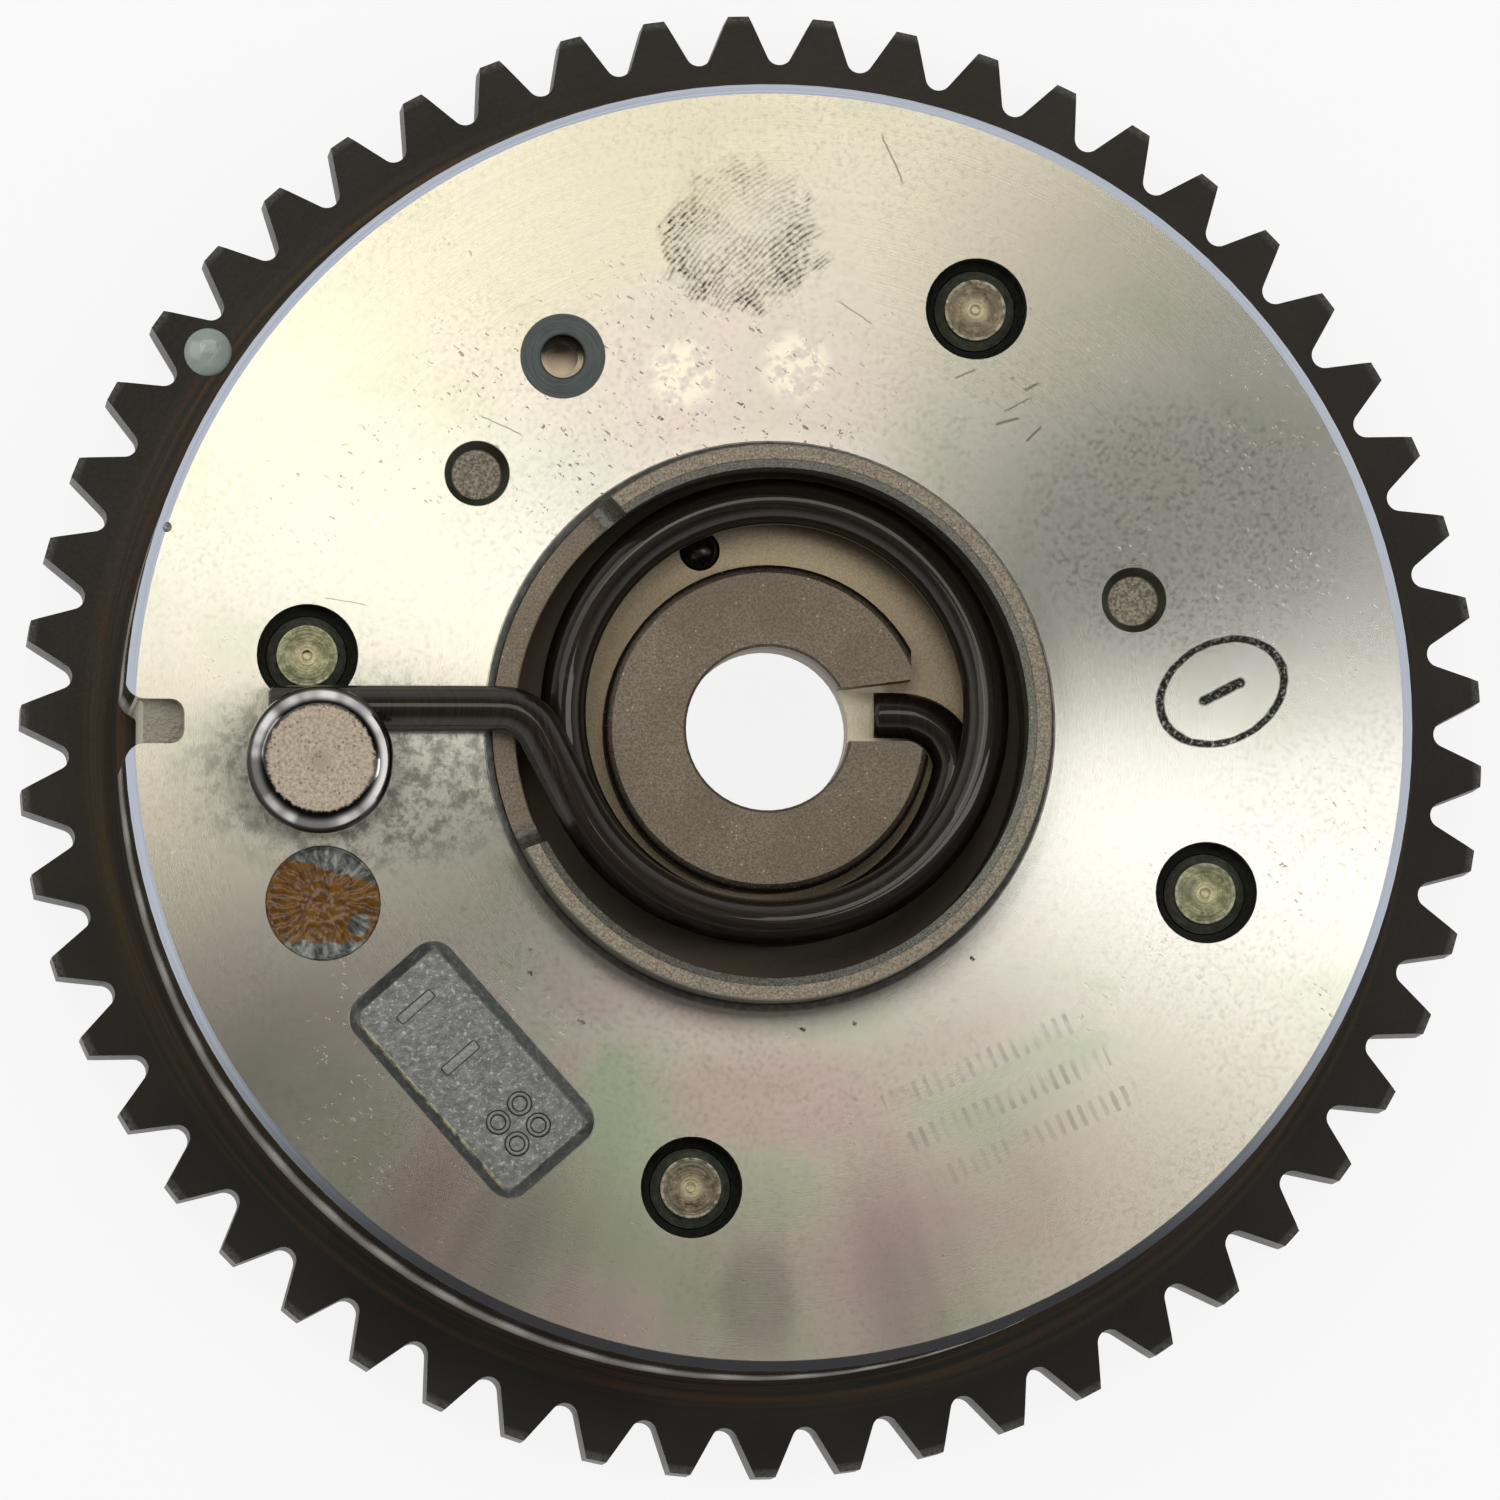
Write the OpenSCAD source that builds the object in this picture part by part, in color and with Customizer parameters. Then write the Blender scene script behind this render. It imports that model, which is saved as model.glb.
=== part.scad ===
// Camshaft phaser for an inverted-tooth timing chain.
// The origin is on the shaft axis at the rear face, and +Z points to the open spring side.

/* [Sprocket] */
// Number of teeth, kept even so that the rim is the same on both sides of the axis
tooth_count = 54; // [52:2:58]
// Chain pitch
chain_pitch = 6.35; // [6.2:0.05:6.6]
// Height of the tooth tips over the pitch circle
tip_rise = 0.1; // [0:0.05:0.3]
// Depth of the teeth from tip to root
tooth_depth = 3.62; // [3.2:0.02:3.9]
// Width of the flat tip of a tooth
tip_w = 1.55; // [1.2:0.05:1.8]
// Lean of each flank from the centreline of its tooth
flank_deg = 23.5; // [20:0.5:25]
// Angle of the first tooth from +X
tooth_phase_deg = 4.297; // [0:0.001:6.6]
// Thickness of the toothed rim
rim_t = 9; // [8.5:0.25:12]
// Chamfer on the tooth edges, along the radius
tooth_chamfer = 0.6; // [0.2:0.1:1]
// Radius of the bore that runs on the camshaft
sprocket_bore_r = 16; // [15:0.25:17]
// Height of the raised seat under the housing
seat_h = 0.5; // [0.2:0.1:1]
// Width of the seat that shows around the housing
seat_margin = 0.3; // [0.1:0.1:0.6]
// Depth of the shallow ring relieved on the rear face
relief_depth = 1; // [0.5:0.25:2]

/* [Housing] */
// Width of the toothed rim between the housing and the tooth roots
rim_land = 3.58; // [3:0.1:5]
// Wall outside the oil chambers
outer_wall = 6.5; // [5.5:0.25:7.5]
// Height of the oil chambers
chamber_h = 19.5; // [18.5:0.5:24]
// Thickness of the front wall
front_wall = 8; // [7.5:0.25:10]
// Chamfer around the front face
face_chamfer = 0.74; // [0.4:0.02:1.2]
// Half of the angle taken by the shoe around each bolt
shoe_half_deg = 19; // [17.5:0.5:20]
// Width of the locating notch in the rim
notch_w = 3.3; // [2.6:0.1:4]
// Depth of the locating notch along the radius
notch_depth = 4.4; // [3.5:0.1:5]
// Depth of the notch's floor under the face
notch_floor_depth = 2.4; // [1.5:0.1:4]
// Depth of the groove that runs on down the wall below the notch
notch_groove_depth = 1.4; // [0.8:0.1:2]
// Chamfer around the bore for the rotor's journal
bore_lead = 0.6; // [0.2:0.05:0.8]
// Length of the cast pocket in the face
pocket_l = 19; // [15:0.5:20]
// Width of the cast pocket
pocket_w = 9.6; // [8:0.2:10.4]
// Depth of the cast pocket
pocket_depth = 1.2; // [0.6:0.1:2]
// Radius of the two cored recesses in the face
core_r = 2.43; // [2:0.05:2.8]
// Depth of the cored recesses
core_depth = 1.8; // [1:0.1:2.5]

/* [Rotor] */
// Angle that the rotor can turn between its stops
travel_deg = 22.5; // [18:0.5:24]
// Radius of the journal that runs in the front wall
journal_r = 20.45; // [20.2:0.05:21.4]
// Step from the journal to the hub
hub_step = 1.55; // [1:0.05:1.8]
// Wall of the journal ring around the spring well
ring_wall = 1.65; // [1.5:0.05:1.8]
// Chamfer inside the top of the journal ring
ring_chamfer = 0.62; // [0.3:0.02:0.8]
// Height of the journal ring over the housing face
ring_proud = 6.5; // [5.5:0.25:7]
// Depth of the spring well under the top of the ring
well_depth = 12.9; // [12.5:0.1:13.5]
// Radius of the clamping boss around the cam bolt
boss_r = 12.1; // [11.6:0.1:12.4]
// Height of the clamping boss over the floor of the well
boss_h = 3.9; // [3.5:0.1:4.2]
// Radius of the cam bolt bore
bolt_bore_r = 6.05; // [5:0.05:6.4]
// Thickness of the web under the floor of the well
web_t = 5.1; // [4:0.1:6]
// Radius of the socket for the camshaft nose
socket_r = 14; // [13:0.25:14.5]

/* [Bias spring] */
// Wire diameter
wire_d = 3.4; // [3:0.1:3.6]
// Offset of the coil from the shaft axis in X
coil_off_x = 0.4; // [0:0.05:0.6]
// Offset of the coil from the shaft axis in Y
coil_off_y = 1.1; // [0.5:0.05:1.3]
// Clearance between the coil and the wall of the well at its closest
coil_gap = 0.3; // [0.2:0.05:0.5]
// Angle on the coil where the wire leaves for the anchor
leave_deg = 206; // [200:1:212]
// Bend radius at the inner end, on the centreline
tail_bend_r = 4; // [3.6:0.1:4.4]
// Bend radius before the straight arm, on the centreline
arm_bend_r = 3.4; // [3:0.1:4.2]
// Length of the arm past the anchor pin
arm_over = 3.65; // [2:0.05:5]

/* [Anchor pin] */
// Angle of the anchor pin from +X
anchor_deg = 184.7; // [182:0.1:186]
// Radius of the head
anchor_head_r = 5.43; // [4.5:0.05:6]
// Height of the head
anchor_head_h = 2.7; // [2:0.1:3.5]
// Radius of the neck that the arm bears on
anchor_neck_r = 2.1; // [1.8:0.1:2.6]
// Radius of the pressed shank
anchor_shank_r = 2.4; // [2:0.1:2.8]
// Length of the pressed shank
anchor_shank_l = 6.5; // [5:0.25:7]

/* [Lock pin] */
// Angle of the lock pin from +X
lock_deg = 119.1; // [116:0.1:120]
// Radius of the pin's nose
lock_nose_r = 2.58; // [2.3:0.02:2.7]
// Radius of the pin's body
lock_body_r = 3.48; // [3.2:0.02:3.7]
// Depth that the nose enters the bush
lock_stroke = 2.4; // [1.5:0.1:2.8]
// Travel left under the released pin
lock_retract = 1.5; // [1:0.1:2]
// Radius of the bush on the face
bush_r = 3.15; // [2.9:0.05:3.5]
// Radius of the bush's shoulder inside the wall
bush_shoulder_r = 4.4; // [4:0.1:5]
// Wire of the lock pin spring
lock_wire_d = 0.6; // [0.4:0.05:0.7]

/* [Bolts] */
// Thread radius of the housing bolts
bolt_r = 2.95; // [2.5:0.05:3.2]
// Radius of the bolt tip that shows in the face
bolt_tip_r = 2.25; // [1.8:0.05:2.4]
// Depth of the bolt tip under the face
bolt_tip_depth = 1.4; // [0.8:0.1:2]
// Radius of the open hole around the tip
bolt_hole_r = 3.75; // [3.6:0.05:4.2]
// Depth of the open hole around the tip
bolt_hole_depth = 3; // [2.6:0.1:3.5]
// Radius of the bolt head
bolt_head_r = 5.2; // [4.8:0.1:5.4]
// Height of the bolt head
bolt_head_h = 6; // [4.5:0.1:6.2]
// Size of the hexagon socket across its flats
hex_flats = 5; // [4:0.5:5]

/* [Seals] */
// Width of a seal strip
seal_w = 2; // [1.6:0.1:2.6]
// Radial height of a seal strip
seal_h = 2.3; // [2:0.1:2.6]
// Space for the leaf spring behind a seal
leaf_room = 0.95; // [0.7:0.05:1.2]
// Thickness of the leaf spring
leaf_t = 0.2; // [0.15:0.05:0.3]

/* [Hidden] */
$fn = 96;

// Overshoot of every cut
cut = 1;

// Fits
run_gap = 0.05;
press_gap = 0.02;
end_gap = 0.04;
tip_gap = 0.3;
seal_gap = 0.1;
stop_gap_deg = 0.5;
slot_gap = 0.3;
relief_gap = 0.25;
rest_gap = 0.15;

// Teeth
pitch_r = chain_pitch / 2 / sin(180 / tooth_count);
tip_r = pitch_r + tip_rise;
root_r = tip_r - tooth_depth;
half_pitch_deg = 180 / tooth_count;
valley_deg = flank_deg + half_pitch_deg;
corner_deg = half_pitch_deg - asin(tip_w / 2 / tip_r);
valley_apex = tip_r * cos(corner_deg) - tip_r * sin(corner_deg) / tan(valley_deg);
valley_y = (root_r - valley_apex * sin(valley_deg)) / (1 - sin(valley_deg));
valley_r = valley_y - root_r;
tooth_chamfer_h = tooth_chamfer * 0.6;

// Levels along the axis
z_seat = rim_t + seat_h;
z_ceiling = z_seat + chamber_h;
z_face = z_ceiling + front_wall;
z_ring = z_face + ring_proud;
z_floor = z_ring - well_depth;
z_boss = z_floor + boss_h;
z_socket = z_floor - web_t;
z_vane_low = z_seat + end_gap;
z_vane_high = z_ceiling - end_gap;
vane_h = z_vane_high - z_vane_low;

// Radii
housing_r = root_r - rim_land;
seat_r = housing_r + seat_margin;
chamber_r = housing_r - outer_wall;
hub_r = journal_r + hub_step;
shoe_tip_r = hub_r + tip_gap;
vane_tip_r = chamber_r - tip_gap;
well_r = journal_r - ring_wall;

// Bolts and shoes, by the bolts' angles from +X
bolt_degs = [63.6, 171.2, 260.3, 339.2];
bolt_inset = 6.55;
bolt_circle_r = chamber_r - bolt_inset;
bolt_clear_r = bolt_r + 0.35;
head_gap = 0.3;
head_sink = 0.2;
z_head = bolt_head_h + head_sink;
thread_gap = 0.08;
hex_depth = 3;
bolt_tip_h = 0.6;
bolt_cone_h = 0.8;
shoes = len(bolt_degs);

// Chambers and vanes
vane_pocket_deg = [for (i = [0:shoes - 1])
    (i < shoes - 1 ? bolt_degs[i + 1] : bolt_degs[0] + 360) - bolt_degs[i] - 2 * shoe_half_deg];
vane_start_deg = [for (i = [0:shoes - 1]) bolt_degs[i] + shoe_half_deg + stop_gap_deg];
vane_span_deg = [for (i = [0:shoes - 1]) vane_pocket_deg[i] - travel_deg - 2 * stop_gap_deg];
vane_mid_deg = [for (i = [0:shoes - 1]) vane_start_deg[i] + vane_span_deg[i] / 2];

// Places on the face, as insets from the chamber wall and angles from +X
lock_place_r = chamber_r - 9.73;
anchor_place_r = chamber_r - 7.6;
sealant_place_r = chamber_r - 5.6;
sealant_deg = 201.6;
sealant_r = 4.26;
sealant_depth = 1;
sealant_t = 0.85;
core_place_r = chamber_r - 12.5;
core_degs = [19.2, 139.1];
core_floor_r = core_r - 0.65;
pocket_place_r = chamber_r - 7.5;
pocket_deg = 229;
pocket_turn_deg = -48.8;
pocket_corner_r = 1.9;
pocket_draft = 0.9;
notch_deg = 179.5;
notch_corner_r = 1.05;
notch_groove_corner_r = 0.4;
notch_mouth_r = 1.5;
nick_deg = 161.7;
nick_r = 0.38;

// Journal ring: the window that the spring arm sweeps, between the axes of its two round corners
window_start_deg = 133;
window_end_deg = 199.7;
window_corner_r = 2.6;
window_relief = 0.04;
bore_chamfer = 0.2;
ring_edge = 0.12;

// Passages in the rotor
oil_r = 1.2;
oil_low_z = z_vane_low + 4.5;
oil_high_z = z_vane_low + 10.5;
oil_side_deg = 2.5;
dowel_r = 2;
dowel_place_r = (bolt_bore_r + socket_r) / 2;
dowel_depth = 3;
dowel_deg = 270;
ball_r = 1.48;
ball_place_r = 14.2;
ball_deg = 110;
ball_sink = 0.6;
ball_hole_depth = 3;

// Bias spring, on its centreline
wire_r = wire_d / 2;
coil_off = [coil_off_x, coil_off_y];
coil_r = well_r - norm(coil_off) - wire_r - coil_gap;
slot_y = 1.05;
slot_w = wire_d + 2 * slot_gap;
slot_flare_deg = 7;
boss_flat_x = boss_r - 1.5;
boss_edge_r = 1.08;
boss_edge_inset = 1;
tail_start_x = 7.9;
tail_reach = 1.9;
tail_centre = [boss_r + tail_reach - tail_bend_r, slot_y - tail_bend_r];
tail_end = tail_centre + [tail_bend_r, 0];
tail_lift = 0.3;
z_tail = z_floor + tail_lift + wire_r;
arm_lift = 0.25;
window_lift = 0.3;
z_window = z_face + window_lift;
z_arm = z_window + arm_lift + wire_r;
coil_start_deg = atan2(tail_end[1], tail_end[0]);
coil_sweep_deg = coil_start_deg - (leave_deg - 720);
coil_ease_deg = 100;
coil_open = 0.7;
coil_open_deg = 75;
heading_deg = leave_deg - 90;

// Anchor pin
anchor = anchor_place_r * [cos(anchor_deg), sin(anchor_deg)];
arm_y = anchor[1] + anchor_neck_r + wire_r + rest_gap;
z_head_low = z_arm + wire_r + 0.35;
anchor_flat_r = anchor_head_r - 1.6;
anchor_edge = 0.4;

// Lock pin, its bore and its bush
lock = lock_place_r * [cos(lock_deg), sin(lock_deg)];
guide_l = 5;
z_guide = z_vane_high - guide_l;
nose_sink = 0.1;
z_nose = z_vane_high - nose_sink;
z_body_high = z_guide - lock_stroke - 0.2;
lock_body_l = 4.9;
z_body_low = z_body_high - lock_body_l;
lock_pocket_r = 1.95;
lock_pocket_l = 8;
lock_seat_t = 2;
z_lock_seat = z_vane_low + 0.06;
spigot_r = 1;
spigot_h = 1.2;
lock_coil_r = lock_pocket_r - 0.15 - lock_wire_d / 2;
lock_coil_turns = 9;
spring_end_gap = 0.05;
bush_shoulder_h = 4;
bush_socket_r = lock_nose_r + 0.17;
bush_socket_h = lock_stroke + 0.6;
bush_vent_r = 1.2;
bush_mouth_r = 1.6;
bush_mouth_h = 2.4;

// Seal grooves
groove_w = seal_w + 2 * run_gap;
groove_h = seal_h + leaf_room;
leaf_l = vane_h - 3;
leaf_w = seal_w - 0.4;
leaf_bow = leaf_room - leaf_t - 0.1;

function smooth(x) = x * x * (3 - 2 * x);
function ring_pts(r, a0, a1, steps) =
    [for (i = [0:steps]) r * [cos(a0 + (a1 - a0) * i / steps), sin(a0 + (a1 - a0) * i / steps)]];
function moved(pts, by) = [for (p = pts) p + by];
function raised(pts, z) = [for (p = pts) [p[0], p[1], z]];

// Point of the coil after it has swept this many degrees clockwise: it eases from the tail onto
// its own centre, and opens a little before it leaves for the anchor
function coil_pt(sweep) =
    let (e = smooth(min(1, sweep / coil_ease_deg)),
         o = smooth(max(0, 1 - (coil_sweep_deg - sweep) / coil_open_deg)),
         r = norm(tail_end) * (1 - e) + coil_r * e + coil_open * o,
         a = coil_start_deg - sweep)
    coil_off * e + r * [cos(a), sin(a)];

// Centreline of the bias spring, from the slot in the boss to the end of the arm
coil_steps = 54;
bend_steps = 6;
coil_end = coil_pt(coil_sweep_deg);
arm_run_l = (arm_y - arm_bend_r * (1 + cos(heading_deg)) - coil_end[1]) / sin(heading_deg);
arm_run_end = coil_end + arm_run_l * [cos(heading_deg), sin(heading_deg)];
arm_centre = arm_run_end + arm_bend_r * [-sin(heading_deg), cos(heading_deg)];
spring_path = concat(
    [[tail_start_x, slot_y, z_tail]],
    raised(moved(ring_pts(tail_bend_r, 90, 0, bend_steps), tail_centre), z_tail),
    [for (i = [1:coil_steps]) let (s = i / coil_steps, p = coil_pt(coil_sweep_deg * s))
        [p[0], p[1], z_tail + (z_arm - z_tail) * s]],
    raised(moved(ring_pts(arm_bend_r, heading_deg - 90, 90, bend_steps), arm_centre), z_arm),
    [[anchor[0] - arm_over, arm_y, z_arm]]
);

// Centreline of the lock pin spring
lock_coil_steps = 10;
lock_coil_low = z_lock_seat + lock_seat_t + spring_end_gap + lock_wire_d / 2;
lock_coil_high = z_body_low + lock_pocket_l - spring_end_gap - lock_wire_d / 2;
lock_path = [for (i = [0:lock_coil_turns * lock_coil_steps])
    let (a = 360 * i / lock_coil_steps, s = i / lock_coil_turns / lock_coil_steps)
    [lock_coil_r * cos(a), lock_coil_r * sin(a), lock_coil_low + (lock_coil_high - lock_coil_low) * s]];

// Round wire swept along a path that stays near the level
module wire(path, r, sides) {
    last = len(path) - 1;
    rings = [for (i = [0:last])
        let (t = path[min(i + 1, last)] - path[max(i - 1, 0)],
             side = cross(t, [0, 0, 1]) / norm(cross(t, [0, 0, 1])),
             up = cross(side, t) / norm(t))
        for (k = [0:sides - 1]) path[i] + r * (cos(360 * k / sides) * side + sin(360 * k / sides) * up)];
    walls = [for (i = [0:last - 1], k = [0:sides - 1])
        [i * sides + k, i * sides + (k + 1) % sides, (i + 1) * sides + (k + 1) % sides, (i + 1) * sides + k]];
    caps = [[for (k = [sides - 1:-1:0]) k], [for (k = [0:sides - 1]) last * sides + k]];
    polyhedron(rings, concat(walls, caps));
}

module at_polar(r, deg, z = 0) {
    translate([r * cos(deg), r * sin(deg), z]) children();
}

module hole(r, z0, z1) {
    translate([0, 0, z0]) cylinder(r = r, h = z1 - z0);
}

// Wedge from the axis past any radius of the part, for cutting sectors under half a turn
module wedge(a0, a1) {
    polygon(concat([[0, 0]], ring_pts(2 * tip_r, a0, a1, 4)));
}

// Plan of one tooth space, on the +Y axis
module tooth_space() {
    reach = tip_r + cut;
    translate([0, valley_y]) circle(r = valley_r);
    flank_x = valley_r * cos(valley_deg);
    flank_y = valley_y - valley_r * sin(valley_deg);
    mouth_x = (reach - valley_apex) * tan(valley_deg);
    polygon([[-flank_x, flank_y], [flank_x, flank_y], [mouth_x, reach], [-mouth_x, reach]]);
}

module toothed_rim() {
    intersection() {
        linear_extrude(rim_t) difference() {
            circle(r = tip_r);
            for (i = [0:tooth_count - 1])
                rotate(tooth_phase_deg + half_pitch_deg * (2 * i + 1) - 90) tooth_space();
        }
        rotate_extrude() polygon([
            [0, 0], [tip_r - tooth_chamfer, 0], [tip_r, tooth_chamfer_h],
            [tip_r, rim_t - tooth_chamfer_h], [tip_r - tooth_chamfer, rim_t], [0, rim_t]
        ]);
    }
}

module sprocket() {
    relief_in_r = sprocket_bore_r + 4;
    relief_out_r = bolt_circle_r - bolt_head_r - head_gap - 1.5;
    color([0.16, 0.15, 0.13]) difference() {
        union() {
            toothed_rim();
            hole(seat_r, rim_t - cut, z_seat);
        }
        hole(sprocket_bore_r, -cut, z_seat + cut);
        difference() {
            hole(relief_out_r, -cut, relief_depth);
            hole(relief_in_r, -2 * cut, relief_depth + cut);
        }
        for (a = bolt_degs) at_polar(bolt_circle_r, a) {
            hole(bolt_clear_r, -cut, z_seat + cut);
            hole(bolt_head_r + head_gap, -cut, z_head);
        }
    }
}

// Plan of the oil chambers between the shoes
module chamber_plan() {
    difference() {
        circle(r = chamber_r);
        difference() {
            for (a = bolt_degs) wedge(a - shoe_half_deg, a + shoe_half_deg);
            circle(r = shoe_tip_r);
        }
    }
}

// Rounded pocket with drafted walls, its mouth on the face
module pocket_cut() {
    x = pocket_l / 2 - pocket_corner_r;
    y = pocket_w / 2 - pocket_corner_r;
    floor_corner_r = pocket_corner_r - pocket_draft;
    at_polar(pocket_place_r, pocket_deg, z_face) rotate(pocket_turn_deg) {
        for (sx = [-x, x], sy = [-y, y]) translate([sx, sy, -pocket_depth])
            cylinder(r1 = floor_corner_r, r2 = pocket_corner_r, h = pocket_depth);
        for (t = [[x, y, 0], [y, x, 90]]) rotate([90, 0, t[2]]) linear_extrude(2 * t[1], center = true)
            polygon([
                [-t[0] - pocket_corner_r, 0], [-t[0] - floor_corner_r, -pocket_depth],
                [t[0] + floor_corner_r, -pocket_depth], [t[0] + pocket_corner_r, 0]
            ]);
    }
}

// Plan of the locating notch, with rounded inner corners and a rounded mouth, towards +X
module notch_plan(depth, corner_r) {
    half = notch_w / 2;
    inner = housing_r - depth;
    mouth = sqrt(housing_r * housing_r - half * half) - notch_mouth_r;
    translate([inner + corner_r, -half]) square([depth + cut, notch_w]);
    translate([inner, -half + corner_r]) square([depth, notch_w - 2 * corner_r]);
    for (s = [-1, 1]) {
        translate([inner + corner_r, s * (half - corner_r)]) circle(r = corner_r);
        difference() {
            translate([mouth, s * half - (s < 0 ? notch_mouth_r : 0)])
                square([notch_mouth_r + cut, notch_mouth_r]);
            translate([mouth, s * (half + notch_mouth_r)]) circle(r = notch_mouth_r);
        }
    }
}

// Shallow notch in the face, with a groove that runs on down the wall
module notch_cut() {
    rotate(notch_deg) {
        translate([0, 0, z_face - notch_floor_depth])
            linear_extrude(notch_floor_depth + cut) notch_plan(notch_depth, notch_corner_r);
        translate([0, 0, z_seat - cut])
            linear_extrude(z_face - z_seat + cut) notch_plan(notch_groove_depth, notch_groove_corner_r);
    }
}

module lock_bush_hole() {
    at_polar(lock_place_r, lock_deg) {
        hole(bush_shoulder_r, z_ceiling - cut, z_ceiling + bush_shoulder_h);
        hole(bush_r, z_ceiling, z_face + cut);
    }
}

module seal_groove(r_low, r_high, deg) {
    rotate(deg) translate([r_low, -groove_w / 2, z_seat - cut]) cube([r_high - r_low, groove_w, chamber_h + cut]);
}

module housing() {
    color([0.78, 0.77, 0.72]) difference() {
        rotate_extrude() polygon([
            [journal_r + run_gap, z_seat], [housing_r, z_seat], [housing_r, z_face - face_chamfer],
            [housing_r - face_chamfer, z_face], [journal_r + run_gap + bore_lead, z_face],
            [journal_r + run_gap, z_face - bore_lead]
        ]);
        translate([0, 0, z_seat - cut]) linear_extrude(chamber_h + cut) chamber_plan();
        for (a = bolt_degs) {
            seal_groove(shoe_tip_r - cut, shoe_tip_r + groove_h, a);
            at_polar(bolt_circle_r, a) {
                hole(bolt_r + thread_gap, z_seat - cut, z_face + cut);
                hole(bolt_hole_r, z_face - bolt_hole_depth, z_face + cut);
            }
        }
        for (a = core_degs) at_polar(core_place_r, a, z_face - core_depth)
            cylinder(r1 = core_floor_r, r2 = core_r, h = core_depth);
        lock_bush_hole();
        at_polar(anchor_place_r, anchor_deg) hole(anchor_shank_r, z_face - anchor_shank_l, z_face + cut);
        at_polar(sealant_place_r, sealant_deg) hole(sealant_r, z_face - sealant_depth, z_face + cut);
        pocket_cut();
        notch_cut();
        at_polar(housing_r - face_chamfer, nick_deg, z_face) sphere(r = nick_r);
    }
}

// Plan of the clamping boss, clear of the coil, open at the slot and rounded where the spring bends out of it
module boss_plan() {
    slot_top = slot_y + slot_w / 2;
    slot_end = boss_r + cut;
    difference() {
        intersection() {
            circle(r = boss_r);
            translate(coil_off) circle(r = coil_r - wire_r - relief_gap);
        }
        translate([0, slot_y - slot_w / 2]) square([slot_end, slot_w]);
        polygon([
            [bolt_bore_r, slot_top], [slot_end, slot_top],
            [slot_end, slot_top + (slot_end - bolt_bore_r) * tan(slot_flare_deg)]
        ]);
        translate([boss_flat_x, slot_y]) square(boss_r);
        translate(tail_centre) difference() {
            square([boss_r, tail_bend_r]);
            circle(r = tail_bend_r - wire_r - relief_gap);
        }
    }
}

// Ring that rounds the outer edge of the boss, a little short of tangent
module boss_edge_cut() {
    rotate_extrude() translate([boss_r - boss_edge_inset, z_boss - boss_edge_inset]) difference() {
        square(boss_edge_inset + cut);
        circle(r = boss_edge_r);
    }
}

module vane_plan() {
    circle(r = hub_r);
    intersection() {
        circle(r = vane_tip_r);
        for (i = [0:shoes - 1]) wedge(vane_start_deg[i], vane_start_deg[i] + vane_span_deg[i]);
    }
}

// One end of the window in the journal ring: round corners that run a little under the window's floor
module window_end(deg) {
    rotate(deg) translate([well_r - cut, 0, z_window + window_corner_r - window_relief]) rotate([90, 0, 90])
        linear_extrude(ring_wall + 2 * cut) {
            circle(r = window_corner_r);
            translate([-window_corner_r, 0]) square([2 * window_corner_r, z_ring - z_window]);
        }
}

module journal_ring() {
    difference() {
        rotate_extrude() polygon([
            [0, z_vane_high - cut], [journal_r, z_vane_high - cut], [journal_r, z_ring - ring_edge],
            [journal_r - ring_edge, z_ring], [well_r + ring_chamfer, z_ring], [well_r, z_ring - ring_chamfer],
            [well_r, z_floor], [0, z_floor]
        ]);
        union() {
            rotate(window_start_deg) rotate_extrude(angle = window_end_deg - window_start_deg)
                translate([well_r - cut, z_window]) square([ring_wall + 2 * cut, z_ring - z_window + cut]);
            window_end(window_start_deg);
            window_end(window_end_deg);
        }
    }
}

module rotor() {
    color([0.44, 0.39, 0.32]) difference() {
        union() {
            translate([0, 0, z_vane_low]) linear_extrude(vane_h) vane_plan();
            journal_ring();
            difference() {
                translate([0, 0, z_floor - cut]) linear_extrude(boss_h + cut) boss_plan();
                boss_edge_cut();
            }
        }
        hole(socket_r, z_vane_low - cut, z_socket);
        hole(bolt_bore_r, z_socket - cut, z_boss + cut);
        translate([0, 0, z_boss - bore_chamfer])
            cylinder(r1 = bolt_bore_r, r2 = bolt_bore_r + bore_chamfer + cut, h = bore_chamfer + cut);
        for (i = [0:shoes - 1]) {
            seal_groove(vane_tip_r - groove_h, vane_tip_r + cut, vane_mid_deg[i]);
            rotate([0, 90, vane_start_deg[i] - oil_side_deg]) translate([-oil_low_z, 0, socket_r - cut])
                cylinder(r = oil_r, h = hub_r - socket_r + 2 * cut);
            rotate([0, 90, vane_start_deg[i] + vane_span_deg[i] + oil_side_deg])
                translate([-oil_high_z, 0, socket_r - cut]) cylinder(r = oil_r, h = hub_r - socket_r + 2 * cut);
        }
        at_polar(dowel_place_r, dowel_deg) hole(dowel_r, z_socket - cut, z_socket + dowel_depth);
        at_polar(ball_place_r, ball_deg) hole(ball_r + press_gap, z_floor - ball_hole_depth, z_floor + cut);
        at_polar(lock_place_r, lock_deg) {
            hole(lock_nose_r + run_gap, z_guide - cut, z_vane_high + cut);
            hole(lock_body_r + run_gap, z_vane_low - cut, z_guide);
        }
    }
}

module bias_spring() {
    color([0.10, 0.08, 0.07]) wire(spring_path, wire_r, 12);
}

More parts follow.
